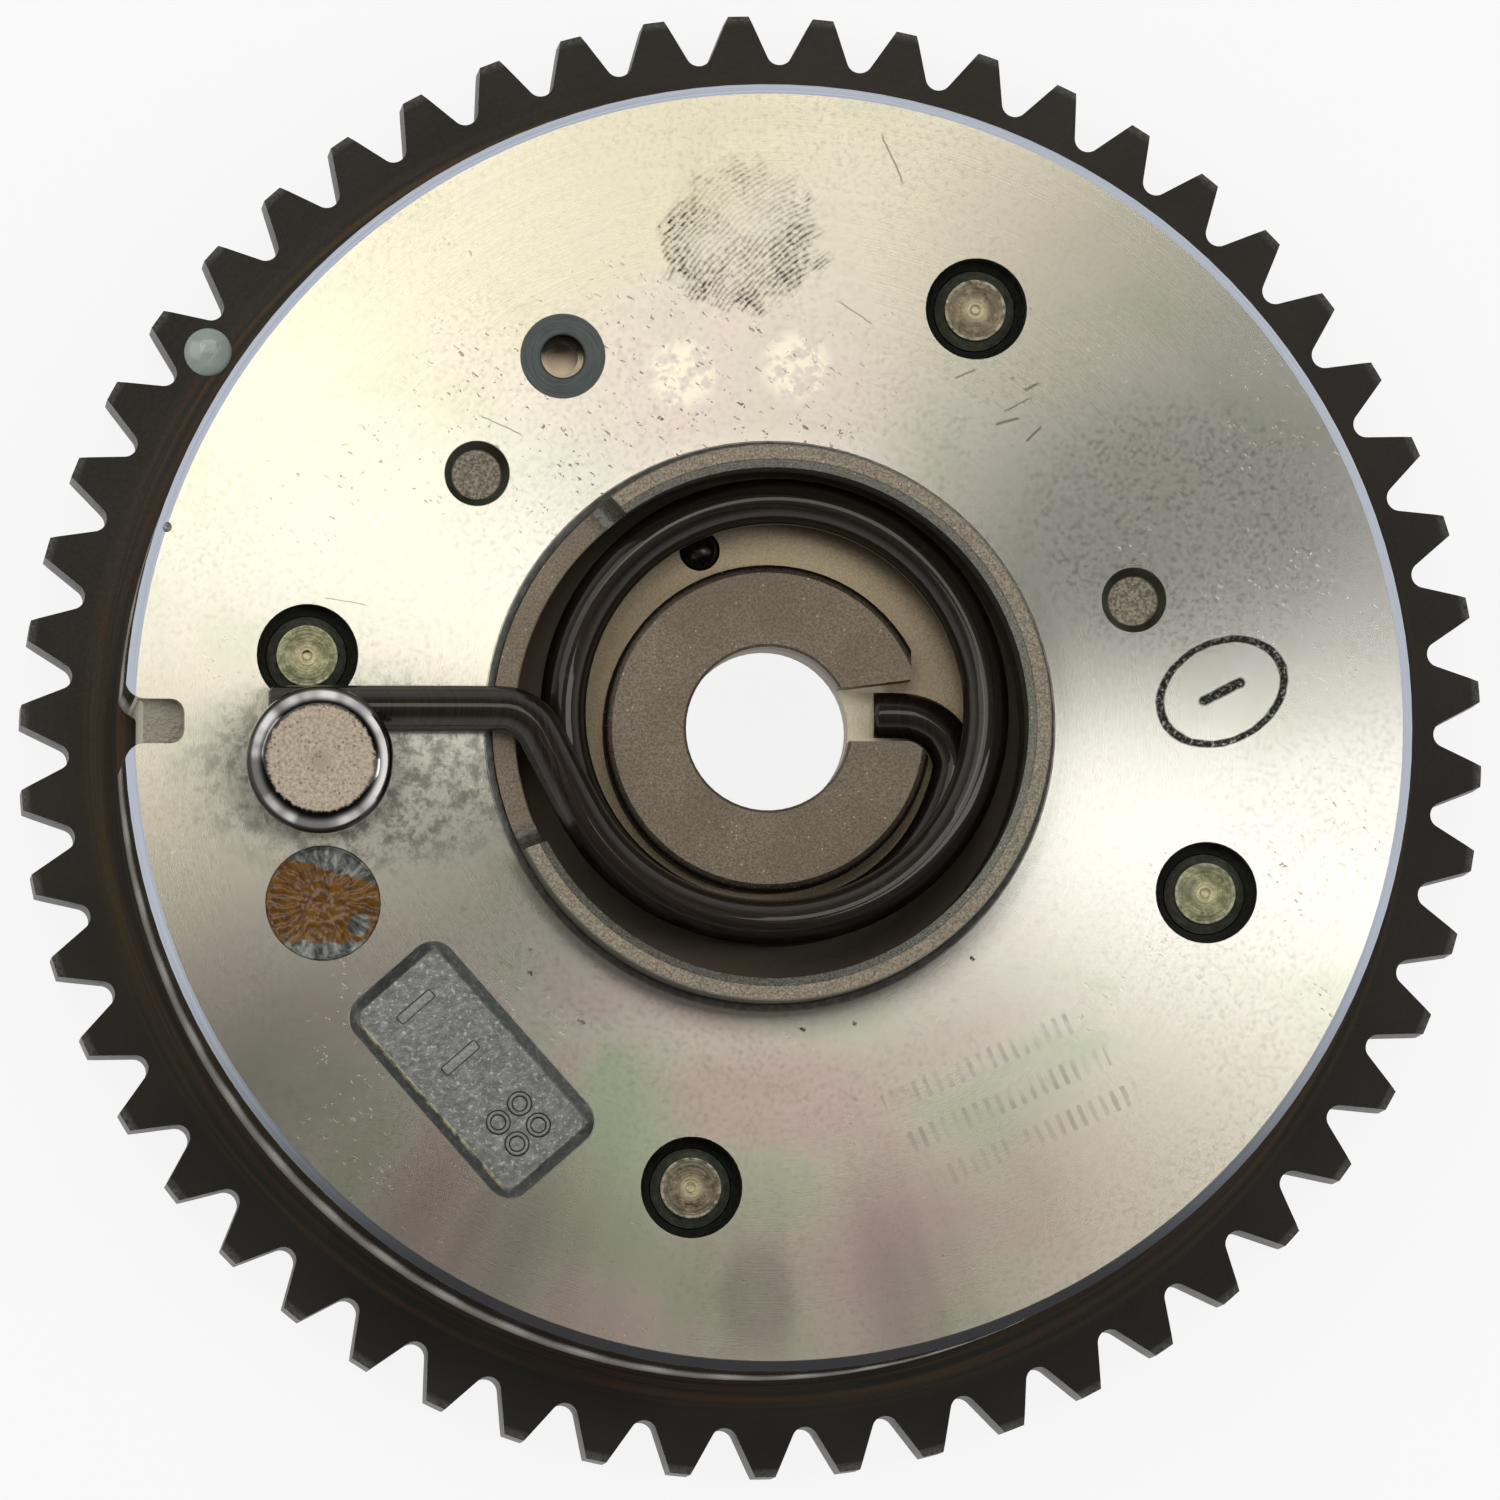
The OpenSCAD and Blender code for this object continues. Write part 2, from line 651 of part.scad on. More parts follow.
module spring_anchor_pin() {
    color([0.50, 0.42, 0.38]) translate([anchor[0], anchor[1], 0]) union() {
        hole(anchor_shank_r - press_gap, z_face - anchor_shank_l, z_face);
        hole(anchor_neck_r, z_face - cut, z_head_low + cut);
        rotate_extrude() {
            edge_r = anchor_head_r - anchor_flat_r;
            z_top = z_head_low + anchor_head_h;
            intersection() {
                translate([anchor_flat_r, z_top - edge_r]) circle(r = edge_r);
                translate([anchor_flat_r, z_top - edge_r]) square(edge_r + cut);
            }
            translate([0, z_top - edge_r]) square([anchor_flat_r, edge_r]);
            polygon([
                [0, z_head_low], [anchor_head_r - anchor_edge, z_head_low],
                [anchor_head_r, z_head_low + anchor_edge], [anchor_head_r, z_top - edge_r], [0, z_top - edge_r]
            ]);
        }
    }
}

module lock_pin() {
    color([0.60, 0.48, 0.36]) at_polar(lock_place_r, lock_deg) difference() {
        union() {
            hole(lock_body_r, z_body_low, z_body_high);
            hole(lock_nose_r, z_body_high - cut, z_nose);
        }
        hole(lock_pocket_r, z_body_low - cut, z_body_low + lock_pocket_l);
    }
}

module lock_pin_spring() {
    color([0.55, 0.56, 0.58]) at_polar(lock_place_r, lock_deg) wire(lock_path, lock_wire_d / 2, 6);
}

module lock_pin_seat() {
    color([0.50, 0.50, 0.48]) at_polar(lock_place_r, lock_deg) difference() {
        union() {
            hole(lock_body_r + run_gap - press_gap, z_lock_seat, z_lock_seat + lock_seat_t);
            hole(spigot_r, z_lock_seat, z_lock_seat + lock_seat_t + spigot_h);
        }
        hole(spigot_r / 2, z_lock_seat - cut, z_lock_seat + lock_seat_t + spigot_h + cut);
    }
}

module lock_pin_bush() {
    color([0.36, 0.40, 0.42]) at_polar(lock_place_r, lock_deg) difference() {
        union() {
            hole(bush_shoulder_r - press_gap, z_ceiling, z_ceiling + bush_shoulder_h);
            hole(bush_r - press_gap, z_ceiling, z_face);
        }
        hole(bush_socket_r, z_ceiling - cut, z_ceiling + bush_socket_h);
        hole(bush_vent_r, z_ceiling, z_face + cut);
        hole(bush_mouth_r, z_face - bush_mouth_h, z_face + cut);
    }
}

module housing_bolts() {
    z_tip = z_face - bolt_tip_depth;
    hex_r = hex_flats / 2 / cos(30);
    color([0.42, 0.38, 0.28]) for (a = bolt_degs) at_polar(bolt_circle_r, a) difference() {
        union() {
            hole(bolt_head_r, head_sink, z_head);
            hole(bolt_r, z_head - cut, z_tip - bolt_tip_h - bolt_cone_h);
            translate([0, 0, z_tip - bolt_tip_h - bolt_cone_h])
                cylinder(r1 = bolt_r, r2 = bolt_tip_r, h = bolt_cone_h);
            hole(bolt_tip_r, z_tip - bolt_tip_h - cut, z_tip);
        }
        translate([0, 0, head_sink - cut]) cylinder(r = hex_r, h = hex_depth + cut, $fn = 6);
    }
}

module face_sealant() {
    color([0.45, 0.28, 0.10]) at_polar(sealant_place_r, sealant_deg)
        hole(sealant_r - press_gap, z_face - sealant_depth, z_face - sealant_depth + sealant_t);
}

module gallery_ball() {
    color([0.25, 0.24, 0.23]) at_polar(ball_place_r, ball_deg, z_floor - ball_sink) sphere(r = ball_r);
}

// Seal strip with its rubbing face on the given radius, which faces out or in
module seal_strip(face_r, outward) {
    low = outward ? face_r - seal_h : face_r;
    translate([0, 0, z_vane_low]) linear_extrude(vane_h) intersection() {
        translate([low - cut, -seal_w / 2]) square([seal_h + 2 * cut, seal_w]);
        difference() {
            circle(r = low + seal_h);
            circle(r = low);
        }
    }
}

// Bowed leaf spring that fills the space from one radius to another
module leaf(r_low, r_high) {
    sag = r_high - r_low - leaf_t;
    bend_r = (leaf_l * leaf_l / 4 + sag * sag) / 2 / sag;
    translate([r_high - bend_r - leaf_t, leaf_w / 2, z_vane_low + vane_h / 2]) rotate([90, 0, 0])
        linear_extrude(leaf_w) intersection() {
            difference() {
                circle(r = bend_r + leaf_t);
                circle(r = bend_r);
            }
            translate([bend_r - sag, -leaf_l / 2]) square([sag + leaf_t + cut, leaf_l]);
        }
}

module vane_seal(i) {
    color([0.20, 0.18, 0.16]) rotate(vane_mid_deg[i - 1]) seal_strip(chamber_r - seal_gap, true);
}

module vane_leaf(i) {
    high = chamber_r - seal_gap - seal_h - run_gap;
    color([0.62, 0.62, 0.60]) rotate(vane_mid_deg[i - 1]) leaf(high - leaf_bow - leaf_t, high);
}

module shoe_seal(i) {
    color([0.20, 0.18, 0.16]) rotate(bolt_degs[i - 1]) seal_strip(hub_r + seal_gap, false);
}

module shoe_leaf(i) {
    low = hub_r + seal_gap + seal_h + run_gap;
    color([0.62, 0.62, 0.60]) rotate(bolt_degs[i - 1]) leaf(low, low + leaf_bow + leaf_t);
}

sprocket();
housing();
rotor();
bias_spring();
spring_anchor_pin();
lock_pin();
lock_pin_spring();
lock_pin_seat();
lock_pin_bush();
housing_bolts();
face_sealant();
gallery_ball();
for (i = [1:shoes]) {
    vane_seal(i);
    vane_leaf(i);
    shoe_seal(i);
    shoe_leaf(i);
}
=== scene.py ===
"""Looks of a camshaft phaser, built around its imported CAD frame.

Lengths of the finishes are in millimetres, as on a drawing; meshes are in metres, as the frame is.
"""

import math
from functools import reduce

import bmesh
import bpy
from bpy.props import FloatProperty, FloatVectorProperty, PointerProperty
from mathutils import Matrix, Vector, noise


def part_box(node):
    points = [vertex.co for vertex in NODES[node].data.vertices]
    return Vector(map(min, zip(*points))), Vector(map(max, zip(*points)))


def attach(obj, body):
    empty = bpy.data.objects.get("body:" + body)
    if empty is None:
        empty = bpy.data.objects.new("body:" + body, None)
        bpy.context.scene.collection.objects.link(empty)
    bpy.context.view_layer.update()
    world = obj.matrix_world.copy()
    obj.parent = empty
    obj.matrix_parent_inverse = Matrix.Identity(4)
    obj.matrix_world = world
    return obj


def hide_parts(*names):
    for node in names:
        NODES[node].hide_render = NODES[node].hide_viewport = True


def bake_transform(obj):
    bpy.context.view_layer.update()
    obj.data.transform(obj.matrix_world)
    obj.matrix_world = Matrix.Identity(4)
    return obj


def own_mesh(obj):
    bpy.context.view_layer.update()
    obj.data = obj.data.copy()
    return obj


bl_info = {
    "name": "Cam Phaser Looks",
    "version": (1, 0, 0),
    "blender": (4, 5, 0),
    "location": "3D View > Sidebar > Phaser",
    "description": "Finishes and modelled details of a camshaft phaser",
    "category": "Object",
}

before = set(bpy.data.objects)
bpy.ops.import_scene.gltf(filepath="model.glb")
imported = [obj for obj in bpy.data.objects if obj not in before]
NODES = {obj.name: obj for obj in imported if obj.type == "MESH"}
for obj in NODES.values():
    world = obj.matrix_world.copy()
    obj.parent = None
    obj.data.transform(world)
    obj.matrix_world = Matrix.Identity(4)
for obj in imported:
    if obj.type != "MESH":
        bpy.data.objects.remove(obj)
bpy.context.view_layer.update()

MM = 0.001
PER_MM = 1 / MM


def centre_of(node):
    """Middle of a CAD node's box, in millimetres."""
    low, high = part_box(node)
    return (low + high) / 2 * PER_MM


def polar(radius, degrees):
    """Place on the face at this radius and angle from +X, in the unit of the radius."""
    return Vector((radius * math.cos(math.radians(degrees)), radius * math.sin(math.radians(degrees))))


# Levels and radii of the frame, in millimetres
FACE_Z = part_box("housing")[1].z * PER_MM
SEAT_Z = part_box("housing")[0].z * PER_MM
HOUSING_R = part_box("housing")[1].x * PER_MM
RING_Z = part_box("rotor")[1].z * PER_MM
TIP_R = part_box("sprocket")[1].x * PER_MM
RIM_Z = SEAT_Z - 0.5
CHAMFER = 0.8
NOTCH_R = 43.0
WELL_R = 18.8
WELL_FLOOR_Z = 30.6
BORE_R = 6.0
BOSS_R = 12.1
BOSS_Z = 34.5
WINDOW_Z = FACE_Z + 0.3
CORE_R = 2.5
CORE_FLOOR_R = 1.9
BOLT_HOLE_R = 3.9
BOLT_TIP_R = 2.26
BUSH_LEDGE_Z = FACE_Z - 2.4

# Places on the face
BOLTS = [polar(34.45, a) for a in (63.6, 171.2, 260.3, 339.2)]
CORES = [polar(28.5, a) for a in (19.2, 139.1)]
COIL = Vector((0.4, 1.1))
ANCHOR = centre_of("spring_anchor_pin")
SEALANT = centre_of("face_sealant")
BUSH = centre_of("lock_pin_bush")
SMUDGE = Vector((-2.0, 36.3))
STAMP = Vector((33.4, 2.6))
STAMP_TILT = math.radians(27)
ETCHING = Vector((17.5, -27.5))
ETCHING_TILT = math.radians(24)
PAINT = polar(50.2, 144.1)
WORN = [Vector((2.0, 26.6)), Vector((-6.4, 26.0))]

# The cast pocket, with half sizes along and across it, and the plain marks in it
POCKET = polar(33.5, 229)
POCKET_TURN = math.radians(-48.8)
POCKET_DEPTH = 1.2
POCKET_HALF = (9.9, 5.2)
POCKET_FLOOR_HALF = (8.5, 3.85)
BAR_PLACES = (-6.2, -1.2)
BAR_WIDTH, BAR_LENGTH, BAR_EDGE = 0.8, 3.3, 0.20
RINGS_ALONG, RINGS_ACROSS = (4.2, 6.3), (-1.05, 1.05)
RING_R, RING_WIRE_R = 0.72, 0.22

# Ovals on the face: centre and half sizes
AGED_RIGHT = ((30.0, 15.0), (15.0, 12.0))
AGED_LEFT = ((-29.0, -3.0), (16.0, 9.0))
BLUSH = ((-2.0, 26.0), (15.0, 9.0))
PITTED = ((-9.0, 24.0), (18.0, 11.0))
STAINED = ((-30.0, -3.5), (15.0, 8.5))

# Films on the lower face: colour, centre, half sizes and share
FILM_PATCHES = (
    ("film_pink", (0.5, -27.5), (10.0, 4.5), 0.55),
    ("film_pink", (8.5, -39.5), (6.0, 5.0), 0.45),
    ("film_green", (-14.0, -32.0), (8.5, 8.0), 0.60),
    ("film_green", (-0.5, -34.0), (5.5, 3.5), 0.50),
    ("film_dark", (-0.8, -42.0), (3.0, 4.5), 0.60),
)

# Scratches: start, end and width
SCRATCHES = (
    ((8.2, 44.0), (10.1, 39.9), 0.10),
    ((19.6, 24.4), (17.2, 23.2), 0.08),
    ((-21.5, 23.0), (-18.0, 21.4), 0.07),
    ((5.0, 31.5), (7.8, 29.6), 0.06),
    ((-33.0, 9.5), (-29.5, 8.9), 0.05),
    ((20.0, 25.4), (18.8, 24.8), 0.16),
    ((18.6, 22.8), (16.6, 22.3), 0.14),
    ((20.2, 22.2), (18.9, 21.0), 0.11),
    ((15.4, 26.4), (13.6, 25.7), 0.10),
)

# Hatched bands: shift from the middle of the three and half length
ETCHED_BANDS = ((3.3, 7.6), (0.0, 8.2), (-3.3, 8.8))

# The sealant's mesh: steps from its middle to its edge and around it, and ribs around it
SEALANT_RINGS, SEALANT_STEPS, SEALANT_RIBS = 22, 144, 15

# Stage: half width of the floor in metres, its gap under the part, the level that the camera
# is aimed at and the shift of the picture, in millimetres
FLOOR_HALF = 3.0
FLOOR_GAP = 0.05
AIM_Z = 20
PICTURE_SHIFT = (0.659, 0.875)


class PhaserSizes(bpy.types.PropertyGroup):
    """Sizes of the details that are modelled here."""

    paint_width: FloatProperty(
        name="Paint Width", description="Width of the dot of marking paint",
        default=3.6 * MM, unit="LENGTH")
    paint_height: FloatProperty(
        name="Paint Height", description="Height of the dot of marking paint",
        default=0.42 * MM, unit="LENGTH")
    sealant_crinkle: FloatProperty(
        name="Sealant Crinkle", description="Height of the ridges in the sealant",
        default=0.10 * MM, unit="LENGTH")
    mark_height: FloatProperty(
        name="Cast Mark Height", description="Height of the cast marks in the pocket",
        default=0.26 * MM, unit="LENGTH")
    wire_swell: FloatProperty(
        name="Wire Swell", description="Growth of the wire that smoothing takes back",
        default=0.079 * MM, unit="LENGTH")


def colour_property(name, description, default):
    """A colour that a user would change."""
    return FloatVectorProperty(
        name=name, description=description, default=default, subtype="COLOR", min=0, max=1)


class PhaserColours(bpy.types.PropertyGroup):
    """Colours of the finishes."""

    alloy: colour_property("Alloy", "Turned face of the housing", (0.74, 0.72, 0.66))
    film_warm: colour_property("Warm Film", "Yellow part of the film on the face", (0.80, 0.74, 0.58))
    film_tan: colour_property("Tan Film", "Tan part of the film on the lower face", (0.60, 0.545, 0.43))
    film_green: colour_property("Green Film", "Green part of the film on the face", (0.47, 0.58, 0.38))
    film_pink: colour_property("Pink Film", "Pink part of the film on the face", (0.67, 0.45, 0.45))
    film_dark: colour_property("Dark Film", "Dark part of the film near the rim", (0.30, 0.26, 0.23))
    casting: colour_property("Casting", "Rough cast alloy", (0.22, 0.228, 0.216))
    sprocket: colour_property("Sprocket", "Oxidised steel of the sprocket", (0.021, 0.018, 0.0125))
    sinter: colour_property("Sinter", "Sintered steel of the rotor", (0.150, 0.122, 0.088))
    slate: colour_property("Slate", "Machined edges of the rotor", (0.105, 0.108, 0.092))
    wire: colour_property("Wire", "Spring wire", (0.013, 0.0088, 0.0058))
    anchor: colour_property("Anchor", "Top of the anchor pin", (0.36, 0.30, 0.23))
    bush: colour_property("Bush", "Lock pin bush", (0.056, 0.066, 0.066))
    bolt: colour_property("Bolt", "Bolt tips", (0.07, 0.055, 0.035))
    resin: colour_property("Resin", "Amber sealant", (0.105, 0.038, 0.002))
    paint: colour_property("Paint", "Marking paint", (0.45, 0.52, 0.49))
    ink: colour_property("Ink", "Marking ink", (0.02, 0.02, 0.018))


class PhaserStage(bpy.types.PropertyGroup):
    """Camera and light."""

    lean_x: FloatProperty(
        name="Lean X", description="Lean of the camera towards +X",
        default=math.radians(-2.654), subtype="ANGLE")
    lean_y: FloatProperty(
        name="Lean Y", description="Lean of the camera towards +Y",
        default=math.radians(-2.868), subtype="ANGLE")
    roll: FloatProperty(
        name="Roll", description="Turn of the picture", default=math.radians(0.095), subtype="ANGLE")
    distance: FloatProperty(
        name="Distance", description="Camera to the middle of the part", default=1.8775, unit="LENGTH")
    focal_length: FloatProperty(
        name="Focal Length", description="Lens, in millimetres on a 36 mm sensor", default=606.07)
    key_power: FloatProperty(
        name="Key Power", description="Radiance of the large soft box", default=1.6)
    ceiling: FloatProperty(
        name="Ceiling", description="Brightness of the studio overhead", default=0.12)


def sizes():
    """The sizes that the operators use."""
    return bpy.context.scene.phaser_sizes


def colours():
    """The colours that the operators use."""
    return bpy.context.scene.phaser_colours


class Field:
    """A number that varies over a surface, worked out by math nodes."""

    def __init__(self, finish, socket):
        self.finish = finish
        self.socket = socket

    def __add__(self, other):
        return self.finish.math("ADD", self, other)

    __radd__ = __add__

    def __sub__(self, other):
        return self.finish.math("SUBTRACT", self, other)

    def __rsub__(self, other):
        return self.finish.math("SUBTRACT", other, self)

    def __mul__(self, other):
        return self.finish.math("MULTIPLY", self, other)

    __rmul__ = __mul__

    def __truediv__(self, other):
        return self.finish.math("DIVIDE", self, other)

    def __pow__(self, other):
        return self.finish.math("POWER", self, other)

    def __abs__(self):
        return self.finish.math("ABSOLUTE", self)

    def rise(self, low, high):
        """0 below low, 1 above high, smooth between; low may be the larger."""
        node = self.finish.node(
            "MapRange", {"Value": self, "From Min": low, "From Max": high},
            interpolation_type="SMOOTHSTEP")
        return Field(self.finish, node.outputs["Result"])

    def bound(self, other):
        """The larger of the two."""
        return self.finish.math("MAXIMUM", self, other)


class Finish:
    """A material in the making, with short calls for the nodes that the finishes share."""

    def __init__(self, name, **constants):
        self.material = bpy.data.materials.new(name)
        self.material.use_nodes = True
        self.tree = self.material.node_tree
        self.tree.nodes.clear()
        output = self.tree.nodes.new("ShaderNodeOutputMaterial")
        self.shader = self.tree.nodes.new("ShaderNodeBsdfPrincipled")
        self.tree.links.new(self.shader.outputs["BSDF"], output.inputs["Surface"])
        self.set(**constants)

    def feed(self, socket, value):
        """Link a field or a socket, or set a constant."""
        if isinstance(value, Field):
            value = value.socket
        if isinstance(value, bpy.types.NodeSocket):
            self.tree.links.new(value, socket)
        elif hasattr(value, "__len__") and socket.type == "RGBA":
            socket.default_value = (*value[:3], 1)
        else:
            socket.default_value = value

    def node(self, kind, values, **settings):
        """A new node with its settings and inputs."""
        made = self.tree.nodes.new("ShaderNode" + kind)
        for key, value in settings.items():
            setattr(made, key, value)
        for key, value in values.items():
            self.feed(made.inputs[key], value)
        return made

    def math(self, operation, a, b=0.0):
        """One math node."""
        return Field(self, self.node("Math", {0: a, 1: b}, operation=operation).outputs[0])

    def place(self, origin=(0, 0), turn=0.0):
        """Object coordinates in millimetres about a point on the face, turned by an angle."""
        coords = self.node("TexCoord", {}).outputs["Object"]
        mapped = self.node(
            "Mapping", {"Vector": coords, "Location": (-origin[0] * MM, -origin[1] * MM, 0)})
        turned = self.node(
            "VectorRotate", {"Vector": mapped.outputs[0], "Angle": -turn}, rotation_type="Z_AXIS")
        scaled = self.node("VectorMath", {0: turned.outputs[0], "Scale": PER_MM}, operation="SCALE")
        split = self.node("SeparateXYZ", {0: scaled.outputs[0]})
        return [Field(self, split.outputs[i]) for i in range(3)]

    def length(self, x, y):
        """Distance from the origin in a plane."""
        return (x * x + y * y) ** 0.5

    def oval(self, x, y, centre, halves):
        """Distance from a centre, which is 1 on an oval with these half sizes."""
        return self.length((x - centre[0]) / halves[0], (y - centre[1]) / halves[1])

    def vector(self, x, y, z=0.0):
        """Three fields as one vector."""
        return self.node("CombineXYZ", {0: x, 1: y, 2: z}).outputs[0]

    def noise(self, vector, scale, detail=2.0, roughness=0.5, distortion=0.0):
        """Cloudy noise from 0 to 1, about 0.5."""
        made = self.node("TexNoise", {
            "Vector": vector, "Scale": scale, "Detail": detail, "Roughness": roughness,
            "Distortion": distortion})
        return Field(self, made.outputs["Fac"])

    def cells(self, vector, scale):
        """Distance to the nearest of scattered points, in cells, and a random number for each."""
        made = self.node("TexVoronoi", {"Vector": vector, "Scale": scale}, feature="F1")
        lottery = self.node("SeparateColor", {0: made.outputs["Color"]})
        return Field(self, made.outputs["Distance"]), Field(self, lottery.outputs[0])

    def mix(self, share, a, b):
        """Colour a turned into colour b by a share."""
        made = self.node("Mix", {0: share, 6: a, 7: b}, data_type="RGBA", blend_type="MIX")
        return made.outputs[2]

    def bump(self, height, distance_mm, strength=1.0, under=None):
        """Normals of a relief of this height."""
        values = {"Height": height, "Distance": distance_mm * MM, "Strength": strength}
        if under is not None:
            values["Normal"] = under
        return self.node("Bump", values).outputs["Normal"]

    def turned(self):
        """Tangent along the lathe's cut around the axis."""
        return self.node("Tangent", {}, direction_type="RADIAL", axis="Z").outputs["Tangent"]

    def set(self, **values):
        """Feed the shader's inputs."""
        for label, value in values.items():
            label = label.replace("_", " ").title().replace("Ior", "IOR")
            self.feed(self.shader.inputs[label], value)
        return self.material


def dress(node, material):
    """Give a CAD node its finish."""
    slots = NODES[node].data.materials
    slots.clear()
    slots.append(material)


def nearest(finish, places):
    """Distance to the nearest of several places on the face."""
    reaches = [finish.length(*finish.place(spot)[:2]) for spot in places]
    return reduce(lambda one, other: finish.math("MINIMUM", one, other), reaches)


def add_piece(name, mesh, body, material):
    """A modelled piece that rides on a CAD body."""
    piece = bpy.data.objects.new(name, mesh)
    bpy.context.scene.collection.objects.link(piece)
    mesh.materials.append(material)
    mesh.shade_smooth()
    if body:
        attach(piece, body)
    return piece


def bmesh_to_mesh(bm, name):
    """Close a bmesh into a mesh with its faces outwards."""
    bmesh.ops.remove_doubles(bm, verts=bm.verts, dist=0.001 * MM)
    bmesh.ops.recalc_face_normals(bm, faces=bm.faces)
    mesh = bpy.data.meshes.new(name)
    bm.to_mesh(mesh)
    bm.free()
    return mesh


def smudge_marks(finish):
    """Share of grey grease in a smudge with bent diagonal ridges, darkest low and at its edge."""
    x, y, _ = finish.place(SMUDGE)
    spot = finish.vector(x, y)
    flow = (finish.noise(spot, 0.25, 2) - 0.5) * 1.3
    along = x * 0.74 + y * 0.67
    across = y * 0.74 - x * 0.67 + along * along * 0.022 + flow
    ridges = finish.math("SINE", across * (math.tau / 0.37)).rise(-0.35, 0.8)
    ragged = (finish.noise(spot, 0.55, 4, 0.6) - 0.5) * 0.9
    reach = finish.length(x / (6.3 - y * 0.12), y / 6.0) + ragged
    patch = reach.rise(1.02, 0.78)
    rim = reach.rise(0.30, 0.80)
    low = y.rise(4.5, -3.0)
    blotch = finish.noise(spot, 0.42, 3).rise(0.34, 0.66)
    broken = finish.noise(spot, 2.4, 4, 0.7).rise(0.40, 0.60)
    weight = (rim * 0.45 + low * 0.4 + 0.15) * (blotch * 0.6 + 0.4)
    return patch * (broken * 0.75 + 0.25) * (ridges * 0.7 + 0.3) * weight


def aged_sectors(finish, x, y):
    """Share of the aged sectors of the face: right of the middle, and around the anchor pin."""
    right = finish.oval(x, y, *AGED_RIGHT).rise(1.1, 0.5)
    left = finish.oval(x, y, *AGED_LEFT).rise(1.1, 0.5)
    return right.bound(left) * finish.length(x, y).rise(HOUSING_R, HOUSING_R - 1.5)


def scratch_marks(finish, start, end, width):
    """Share of a fine scratch between two places on the face."""
    start, end = Vector(start), Vector(end)
    run = end - start
    x, y, _ = finish.place((start + end) / 2, math.atan2(run.y, run.x))
    half = run.length / 2
    bend = y + (finish.noise(finish.vector(x, 0.0), 0.8, 2) - 0.5) * 0.5
    return abs(bend).rise(width, width * 0.3) * abs(x).rise(half, half * 0.7)


def stamp_marks(finish):
    """Share of ink in a plain oval with one bar in it."""
    x, y, _ = finish.place(STAMP, STAMP_TILT)
    wander = (finish.noise(finish.vector(x, y), 0.9, 3) - 0.5) * 0.16
    oval = abs(finish.length(x / 5.1, y / 3.85) - 0.94 + wander * 0.35)
    ring = oval.rise(0.085, 0.045)
    bar = finish.length(abs(x).bound(1.5) - 1.5, y + wander).rise(0.48, 0.26)
    worn = finish.noise(finish.vector(x, y), 3.2, 5, 0.7).rise(0.30, 0.52)
    return ring.bound(bar) * (worn * 0.6 + 0.38)


def etched_marks(finish):
    """Share of dulled metal in three plain hatched bands."""
    x, y, _ = finish.place(ETCHING, ETCHING_TILT)
    total = reduce(Field.bound, [
        abs(y - shift).rise(0.85, 0.75) * abs(x + shift * 0.3).rise(half, half - 0.2)
        for shift, half in ETCHED_BANDS])
    hatch = finish.math("SINE", x * 7.2).rise(0.1, 0.5)
    fade = finish.noise(finish.vector(x, y), 0.35, 2).rise(0.3, 0.7)
    return total * hatch * fade


def torn_place(finish, x, y, z):
    """Place on the surface, shifted at random, which gives scattered marks torn outlines."""
    shift = finish.noise(finish.vector(x, y, z), 3.0, 3) - 0.5
    return finish.vector(x + shift * 1.2, y - shift * 0.9, z)


def pit_marks(finish, x, y, z):
    """Share of pits and specks, most of them at the upper left of the face."""
    worn = finish.oval(x, y, *PITTED).rise(1.15, 0.45)
    loose = finish.noise(finish.vector(x, y, z), 0.09, 3).rise(0.54, 0.70)
    clusters = (loose * 0.35).bound(worn * 0.9)
    torn = torn_place(finish, x, y, z)
    reach, luck = finish.cells(torn, 1.5)
    pits = luck.rise(0.92, 0.95) * reach.rise(0.24, 0.10) * clusters
    reach, luck = finish.cells(torn, 3.6)
    return pits.bound(luck.rise(0.89, 0.93) * reach.rise(0.36, 0.12) * clusters * 0.7)


def grime_marks(finish, x, y, z):
    """Share of brown grime in scattered spots below the rotor."""
    reach, luck = finish.cells(torn_place(finish, x, y, z), 0.8)
    spots = luck.rise(0.86, 0.88) * reach.rise(0.18, 0.08)
    return spots * finish.length(x, y).rise(31, 22) * y.rise(-8, -18)


def film_colour(finish, x, y, cloud, veil, arcs):
    """Colour of the turned face under its films: warm above, tan, pink, green and dark below."""
    tint = colours()
    r = finish.length(x, y)
    warm = (y - x).rise(-40, 45) * cloud.rise(0.25, 0.6)
    low = y.rise(-8, -38)
    colour = finish.mix(warm, tint.alloy, tint.film_warm)
    colour = finish.mix(low * 0.75, colour, tint.film_tan)
    colour = finish.mix(
        low * veil.rise(0.42, 0.72) * x.rise(30, 12) * 0.8, colour, tint.film_pink)
    colour = finish.mix(veil.rise(0.48, 0.24) * (low * 0.75 + 0.25), colour, tint.film_green)
    colour = finish.mix((arcs - 0.5) * 0.16 + 0.09, colour, (0.30, 0.30, 0.28))
    for film, centre, halves, share in FILM_PATCHES:
        reach = finish.oval(x, y, centre, halves) + (veil - 0.5) * 0.9
        colour = finish.mix(reach.rise(1.15, 0.45) * share, colour, getattr(tint, film))
    blush = finish.oval(x, y, *BLUSH).rise(1.1, 0.4)
    colour = finish.mix(blush * veil.rise(0.30, 0.60) * 0.6, colour, (0.80, 0.67, 0.65))
    bands = finish.noise(finish.vector(x / r * 3.0, y / r * 3.0), 1.6, 2).rise(0.40, 0.66)
    dark = low * r.rise(27, 42) * x.rise(26, 12) * (bands * 0.45 + 0.45)
    return finish.mix(dark, colour, tint.film_dark)


